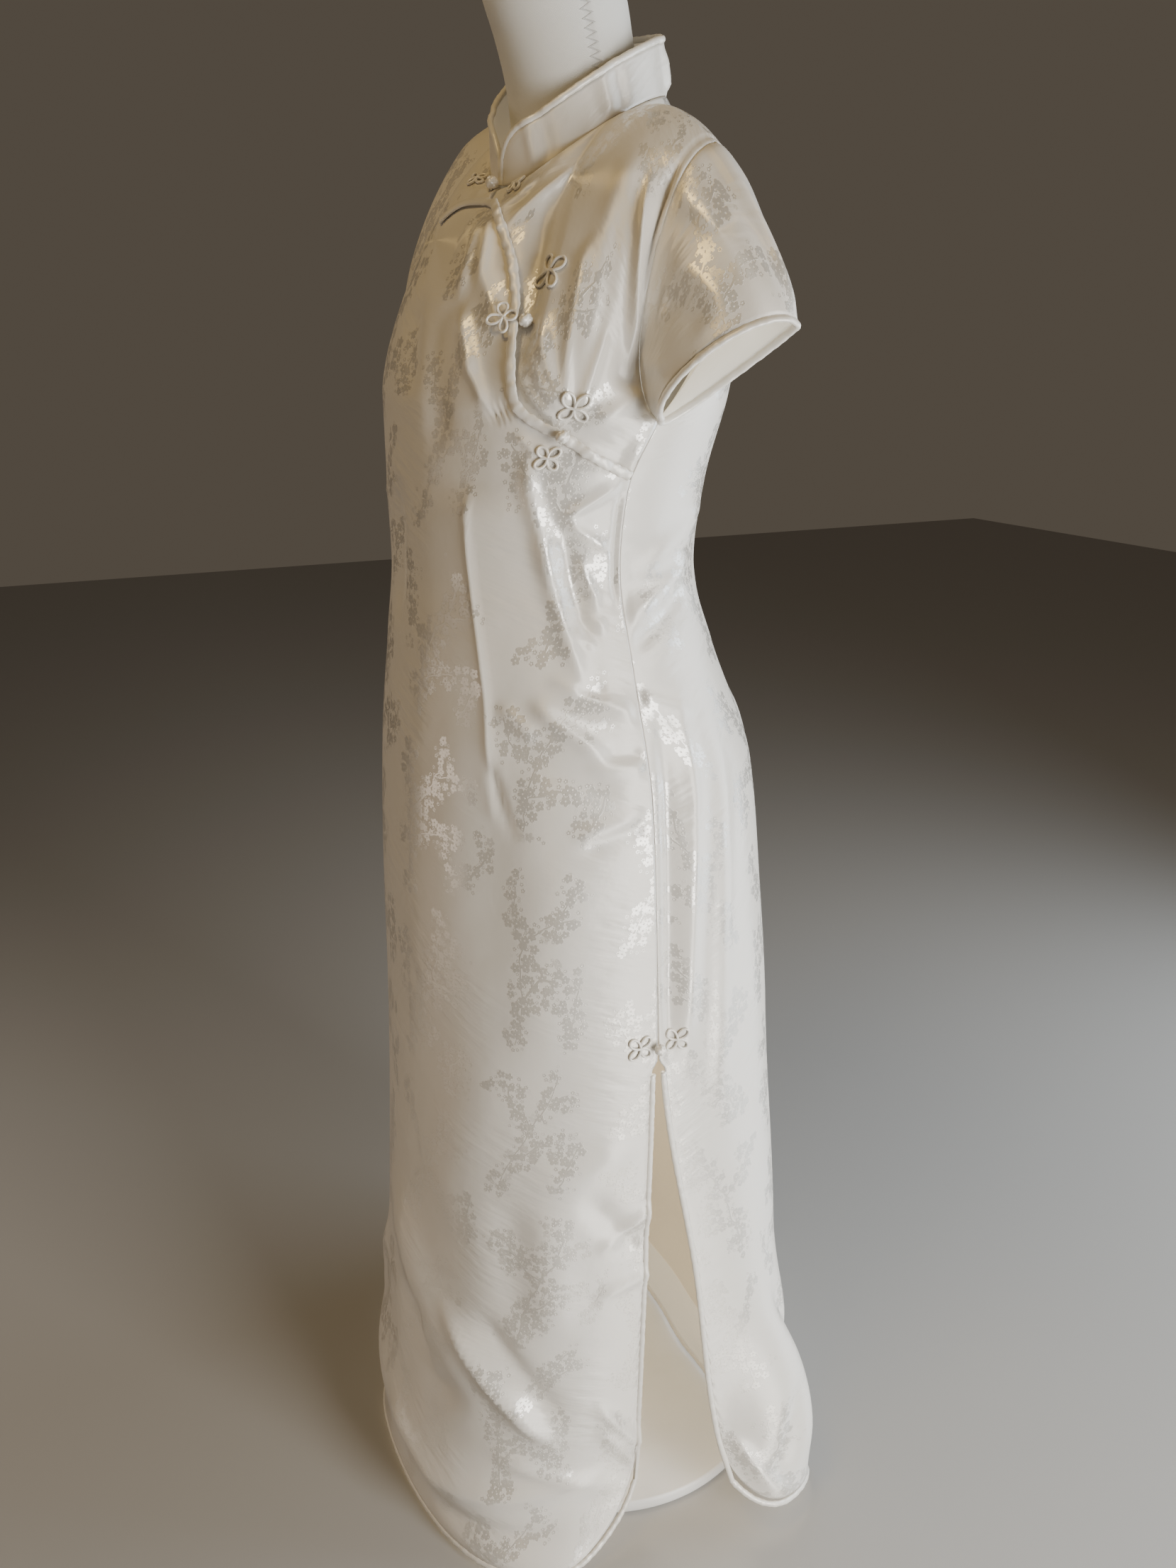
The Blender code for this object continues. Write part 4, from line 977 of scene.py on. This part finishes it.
def collar_point(turn, height, out=0.0):
    """A point of the collar's outer face, which leans in a little at the nape."""
    foot = neck_point(turn) + (0, 0, 0.0006)
    lean = np.stack([-0.02 * np.sin(turn), -0.08 * (1 + np.cos(turn)), np.ones_like(turn)], axis=-1)
    away = unit(np.stack([np.sin(turn) / 0.065, np.cos(turn) / 0.0715, np.zeros_like(turn)], axis=-1))
    for middle, width, depth in COLLAR_CREASES:
        slant = (turn - middle) * 0.069 - (np.asarray(height) - 0.018) * 0.25
        fade = smoothstep(0.0, 0.010, height) * (1 - 0.5 * smoothstep(0.022, 0.036, height))
        out = out + 1.8 * depth * np.exp(-((slant / width) ** 2)) * fade
    return foot + lean * np.asarray(height)[..., None] + away * np.asarray(out)[..., None]


turn, share = np.meshgrid(np.linspace(-COLLAR_END, COLLAR_END, 180), np.linspace(0, 1, 14))
height = collar_rise(turn) * share
points, uv = collar_point(turn, height)[:, ::-1], np.stack([turn * 0.068, height + 0.9], -1)[:, ::-1]
collar = grid_piece(
    "collar_band", points, uv, [plain_brocade, lining], "collar", wall=0.0022
)


# Sleeves. Short cap sleeves, each a tube whose hem is a tilted oval that hangs lower at the underarm.

SLEEVE_ROUND = 0.36
SLEEVE_LONG = 0.12

# share_a, along_a, share_b, along_b, width, depth, crisp
SLEEVE_FOLDS = (
    (0.47, -0.20, 0.50, 1.10, 0.006, 0.0030, 0.5),
    (0.44, 0.00, 0.46, 0.90, 0.009, -0.0030, 0.2),
    (0.28, 0.10, 0.31, 0.95, 0.009, 0.0028, 0.3),
    (0.22, 0.20, 0.25, 0.90, 0.009, -0.0024, 0.2),
    (0.12, 0.00, 0.15, 0.90, 0.007, 0.0026, 0.4),
    (0.36, -0.10, 0.38, 0.50, 0.008, 0.0022, 0.3),
    (0.58, 0.00, 0.56, 0.90, 0.010, 0.0026, 0.3),
    (0.70, 0.10, 0.68, 0.90, 0.010, -0.0026, 0.2),
)
SLEEVE_UNDER = np.array([0.183, -0.062, 1.122])
SLEEVE_OVER = np.array([0.245, -0.003, 1.203])


def armhole_point(share):
    """A point of the left armhole: share goes up its front from the underarm and down its back."""
    up = UNDERARM_UP + np.minimum(share, 1 - share) * 2 * BODICE_RISE
    front, back = (cloth_point(panel, np.full_like(share, 1.0), up) for panel in ("front", "back"))
    behind = np.where((share > 0.01) & (share < 0.99), smoothstep(0.48, 0.52, share), 0.5)[..., None]
    return front * (1 - behind) + back * behind


def sleeve_point(share, along, out=0.0):
    """A point of the left sleeve from its armhole, along 0, to its hem, along 1, on a cubic."""
    angle = 2 * math.pi * share[..., None]
    bulge = np.where(share[..., None] <= 0.5, (0.006, -0.026, 0.020), (0.018, -0.010, 0.010))
    end = (SLEEVE_UNDER + SLEEVE_OVER) / 2 + (SLEEVE_UNDER - SLEEVE_OVER) / 2 * np.cos(angle)
    end = end + bulge * np.sin(angle)
    start = armhole_point(share)
    straight = end - start
    top = np.sin(math.pi * share[..., None]) ** 2
    leave = straight * (1 - top) + np.array([0.060, 0, -0.020]) * top
    arrive = straight * (1 - top) + np.array([0.034, 0.014, -0.110]) * top
    return hermite(start + unit(leave) * 0.0003, end, leave, arrive, along[..., None])


def make_sleeve(name, node, mirror):
    """The sleeve's cubic surface with its folds; mirror is -1 for the right one."""
    share, along = np.meshgrid(np.linspace(0, 1, 96, endpoint=False), np.linspace(0, 1, 36))
    points = sleeve_point(share, along)
    round_way, down_way = np.gradient(points, axis=1), np.gradient(points, axis=0)
    normals = unit(np.cross(round_way, down_way))
    normals = normals * np.sign(np.sum(normals * (points - points.mean(1, keepdims=True)), -1).mean())
    depth = np.zeros(share.shape)
    for share_a, along_a, share_b, along_b, width, height, crisp in SLEEVE_FOLDS:
        line = np.array([(share_b - share_a) * SLEEVE_ROUND, (along_b - along_a) * SLEEVE_LONG])
        part, away = from_line((share - share_a) * SLEEVE_ROUND, (along - along_a) * SLEEVE_LONG, line)
        away = away / width
        bell = np.exp(-away * away) * (1 - crisp) + np.exp(-away * 1.5) * crisp
        depth += height * bell * smoothstep(0, 0.3, part) * smoothstep(0, 0.3, 1 - part)
    depth = depth * smoothstep(0, 0.12, along) * smoothstep(0, 0.15, 1 - along)
    points = (points + normals * depth[..., None]) * (mirror, 1, 1)
    uv_share, uv_along = np.meshgrid(np.linspace(0, 1, 97), np.linspace(0, 1, 36))
    uv = np.stack([uv_share * SLEEVE_ROUND - 0.050 * mirror, 0.14 - uv_along * SLEEVE_LONG], axis=-1)
    if mirror > 0:
        points, uv = points[:, ::-1], uv[:, ::-1]
    layers = [brocade, sleeve_lining]
    return grid_piece(name, points, uv, layers, node, closed=True, wall=WALL)


sleeve_left = make_sleeve("left_sleeve", "sleeve_left", 1)
sleeve_right = make_sleeve("right_sleeve", "sleeve_right", -1)


# Bindings. Bias strips of plain satin, folded over every edge, so they lie a little twisted.

satin = Finish("satin", (0.80, 0.765, 0.70), 0.38, Sheen_Weight=0.10)
flat = satin.uv()
slant = flat.part(0) * 420 + flat.part(1) * 300 + satin.noise(flat, 60.0, 2.0) * 5.0
drag = slant.math("SINE") * satin.noise(flat, 90.0, 1.0).between(0.35, 0.75)
satin.set("Roughness", 0.28 + satin.noise(flat, 120.0, 2.0) * 0.12)
satin.set("Metallic", 0.12)
satin.bump(drag * 0.5 + satin.noise(flat, 2600.0, 1.0) * 0.1, 0.0006)


def swept(name, path, out, half_width, half_thick, replaced, closed=False, sides=12, roll=0.0):
    """A rounded strip along a path: out is the cloth's outward direction, the width lies square to it."""
    after = np.roll(path, -1, 0) - np.roll(path, 1, 0) if closed else np.gradient(path, axis=0)
    along = unit(after)
    across = unit(np.cross(along, out))
    out = np.cross(across, along)
    length = np.concatenate([[0], np.cumsum(np.linalg.norm(np.diff(path, axis=0), axis=1))])
    so_far = length[:, None]
    roll = np.reshape(roll, (-1, 1))
    twist = roll * np.sin(so_far * 330) * np.sin(so_far * 171 + 1)
    across, out = across * np.cos(twist) + out * np.sin(twist), out * np.cos(twist) - across * np.sin(twist)
    uneven = 1 + 0.5 * roll * np.sin(so_far * 610 + 2) * np.sin(so_far * 233)
    angle = np.linspace(0, 2 * math.pi, sides, endpoint=False)[:, None]
    wide = across[:, None] * np.cos(angle) * (half_width * uneven)[:, None]
    points = path[:, None] + wide - out[:, None] * np.sin(angle) * (half_thick * uneven)[:, None]
    if closed:
        points = np.concatenate([points, points[:1]])
        length = np.append(length, length[-1] + np.linalg.norm(path[0] - path[-1]))
    uv = np.stack(np.meshgrid(length, np.linspace(0, 2, sides + 1) * half_width, indexing="ij"), -1)
    return grid_piece(name, points, uv, [satin], replaced, closed=True, ends=not closed)


def edge_path(panel, across, up, step, lift):
    """A line beside a panel's edge, that far outside it and that far above its outer face."""
    outer = cloth_point(panel, across, up)
    normals = base_normal(panel, across, up)
    outward = unit(np.cross(unit(np.gradient(outer, axis=0)), normals))
    step, lift = (np.broadcast_to(x, across.shape)[:, None] for x in (step, lift))
    return outer + outward * step + normals * lift, normals


def hem_binding(panel):
    """Down one slit edge, along the hem and up the other."""
    slit_up = np.linspace(0.543, 0.10, 140)
    limit = slit_limit(panel, slit_up)
    hem_across = np.sin(np.linspace(-1, 1, 420) * math.pi / 2)
    hem_across = hem_across * slit_limit(panel, hem_up(panel, hem_across))
    across = np.concatenate([-limit, hem_across, limit[::-1]])
    up = np.concatenate([slit_up, hem_up(panel, hem_across), slit_up[::-1]])
    if panel == "back":
        across, up = across[::-1], up[::-1]
    path, normals = edge_path(panel, across, up, 0.0017, -WALL / 2)
    return swept(f"{panel}_hem_binding", path, normals, 0.0030, 0.0022, f"piping_{panel}_hem", roll=0.2)


front_binding = hem_binding("front")
back_binding = hem_binding("back")

# The opening's binding runs on over the throat, where it rests on the front: across and up.
START = ((0.095, 1.261), (0.050, 1.268), (-0.010, 1.2695), (-0.055, 1.265), (-0.095, 1.254), (-0.130, 1.240))
ON_EDGE = 220
ON_THROAT = 70
edge_across = np.linspace(0.988, 0.14, ON_EDGE)
share = np.linspace(0, len(START) - 1, ON_THROAT)
throat_across, throat_up = (np.interp(share, range(len(START)), column) for column in zip(*START))
across = np.concatenate([edge_across, throat_across])
up = np.concatenate([opening_up(edge_across), throat_up])
resting = smoothstep(0, 1, np.clip((np.arange(ON_EDGE + ON_THROAT) - ON_EDGE) / 19, 0, 1))
path, normals = edge_path("front", across, up, 0.0022 * (1 - resting), 0.0016 + 0.0008 * resting)
for _ in range(60):
    path[1:-1] += ((path[:-2] + path[2:]) / 2 - path[1:-1]) * resting[1:-1, None]
    normals[1:-1] += (unit((normals[:-2] + normals[2:]) / 2) - normals[1:-1]) * resting[1:-1, None]
roll = 0.25 * (1 - resting)
opening_binding = swept("opening_binding", path, normals, 0.0040, 0.0016, "piping_opening", roll=roll)

turn = np.linspace(-COLLAR_END, COLLAR_END, 300)
rise = collar_rise(turn)
ends = np.linspace(0.05, 0.95, 16)
full_turn = np.concatenate([np.full(16, -COLLAR_END), turn, np.full(16, COLLAR_END)])
full_rise = np.concatenate([rise[0] * ends, rise, rise[-1] * ends[::-1]])
path = collar_point(full_turn, full_rise, -0.0011)
away = unit(np.stack([np.sin(full_turn), np.cos(full_turn), np.zeros_like(full_turn)], -1))
outward = unit(np.cross(away, unit(np.gradient(path, axis=0))))
outward = np.where(outward[len(path) // 2][2] < 0, -outward, outward)
path = path + outward * 0.0022
collar_binding = swept("collar_binding", path, away, 0.0026, 0.0024, "piping_collar", roll=0.15)


def sleeve_binding(name, node, mirror):
    """Round a sleeve's hem, a little wider at the shoulder and the underarm."""
    share = np.linspace(0, 1, 160, endpoint=False)
    hem = sleeve_point(share, np.ones(160))
    before = sleeve_point(share, np.full(160, 0.85))
    outward = unit(hem - before)
    inward = unit(hem.mean(0) - hem)
    short = (1 - np.sin(math.pi * share) ** 2)[:, None]
    path = (hem + outward * (0.0026 + 0.0020 * short**2) + inward * WALL / 2) * (mirror, 1, 1)
    return swept(name, path, -inward * (mirror, 1, 1), 0.0036, 0.0024, node, closed=True, roll=0.15)


left_binding = sleeve_binding("left_sleeve_binding", "piping_sleeve_left", 1)
right_binding = sleeve_binding("right_sleeve_binding", "piping_sleeve_right", -1)


# Frogs. Cord of rolled satin, laid as a flower of four open loops on each side of a knotted ball.


def walk(panel, across, up, along, rise):
    """The place reached from another by a step in metres: along the cloth's level, and square to it."""
    here = cloth_point(panel, across, up)
    by_across = (cloth_point(panel, across + 0.01, up) - here) / 0.01
    by_up = (cloth_point(panel, across, up + 0.002) - here) / 0.002
    level = unit(by_across)
    slant = by_up @ level
    up_step = rise / np.linalg.norm(by_up - slant * level)
    return across + (along - up_step * slant) / np.linalg.norm(by_across), up + up_step


def laid_point(piece, across, up, out):
    """A point lying on a piece of cloth; the underlap is the front's surface, dropped near the opening."""
    if piece == "underlap":
        return cloth_point("front", across, up, out - underlap_drop(across, up))
    return cloth_point(piece, across, up, out)


CORD = 0.00115  # radius of the cord

# node, piece, across, up, turn, reach, height
FLOWERS = (
    ("frog_neck_left", "underlap", 0.125, 1.284, 0.4, 0.0085, 0.0),
    ("frog_neck_right", "front", -0.140, 1.284, 0.4, 0.0085, 0.0),
    ("frog_chest_left", "underlap", 0.510, 1.192, 0.5, 0.0155, 0.0),
    ("frog_chest_right", "front", 0.413, 1.169, 0.2, 0.0120, 0.0036),
    ("frog_side_upper", "underlap", 0.735, 1.1205, 0.7, 0.0140, 0.0),
    ("frog_side_lower", "front", 0.695, 1.0805, 0.7, 0.0110, 0.0),
    *(
        (f"frog_slit_{side}_{panel}", panel, across, 0.575, 0.8, 0.0130, 0.0)
        for side, across in (("left", 0.942), ("right", -0.942))
        for panel in ("front", "back")
    ),
)


def make_flower(node, piece, across, up, turn, reach, height):
    """One cord crossing itself at the middle: the distance from there is the cosine of twice the angle."""
    panel = "back" if piece == "back" else "front"
    angle = np.linspace(0, 2 * math.pi, 96, endpoint=False)
    far = np.cos(2 * angle)
    distance = reach * np.sign(far) * np.abs(far) ** 0.8
    along, rise = distance * np.cos(angle + turn), distance * np.sin(angle + turn)
    places = [walk(panel, across, up, a, r) for a, r in zip(along, rise)]
    across_at, up_at = np.array([p[0] for p in places]), np.array([p[1] for p in places])
    over = height + 0.0014 + 0.0012 * np.exp(-((distance / 0.003) ** 2)) * (1 + np.sin(4 * angle)) / 2
    path = laid_point(piece, across_at, up_at, over)
    normals = base_normal(panel, across_at, up_at)
    swept(node.replace("frog", "flower"), path, normals, CORD, CORD, node, closed=True, sides=8)


for row in FLOWERS:
    make_flower(*row)


# Knotted balls. Each is the same cord wound into a button.

BALLS = (  # node, piece, across, up, height
    ("ball_neck", "front", 0.000, 1.292, -0.0002),
    ("ball_chest", "underlap", 0.490, 1.169, 0.0004),
    ("ball_side", "front", 0.713, 1.0985, 0.0030),
    ("ball_slit_left", "front", 0.999, 0.572, 0.0008),
    ("ball_slit_right", "front", -0.999, 0.572, 0.0008),
)


def make_ball(node, piece, across, up, stand):
    """A sphere whose radius rises over the cords that cross on it."""
    centre = laid_point(piece, across, up, stand + 0.0052)
    turn, level = np.meshgrid(np.linspace(0, 2 * math.pi, 32, endpoint=False), np.linspace(-1.5, 1.5, 20))
    lattice = np.abs(np.sin(2 * turn + 2 * level)) * np.abs(np.sin(2 * turn - 2 * level + 0.6))
    radius = 0.0045 + 0.0011 * lattice**0.6
    ball = np.stack([np.cos(turn) * np.cos(level), np.sin(turn) * np.cos(level), np.sin(level)], -1)
    points = centre + ball * radius[..., None]
    uv = np.stack(np.meshgrid(np.linspace(0, 0.03, 33), np.linspace(0, 0.015, 20)), -1)
    name = node.replace("ball", "knot")
    grid_piece(name, points, uv, [satin], node, closed=True, ends=True)


for row in BALLS:
    make_ball(*row)


# Side zip. Its tape and closed teeth lie just inside the left side seam.

tape = Finish("zip_tape", (0.72, 0.70, 0.65), 0.6)
flat = tape.uv()
TOOTH = 0.0016
teeth = (flat.part(1) / TOOTH).math("FRACT").between(0.3, 0.5)
teeth = teeth * flat.part(0).math("ABSOLUTE").between(0.0024, 0.0018)
tape.set("Base Color", tape.mix(teeth, (0.70, 0.68, 0.63), (0.82, 0.81, 0.78)))
tape.bump(teeth, 0.0008)
TAPE_HALF = 0.010
share, z = np.meshgrid(np.linspace(-1, 1, 15), np.linspace(0.865, 1.05, 60))
across = 1 - np.abs(share) * TAPE_HALF / girth("front", z)
before, behind = (base_point(panel, across, z - HEM_Z) for panel in ("front", "back"))
points = np.where((share < 0)[..., None], before, behind) - (0.0029, 0, 0)
uv = np.stack([share * TAPE_HALF, z], -1)
grid_piece("zip_strip", points, uv, [tape], "side_zip", wall=0.001)
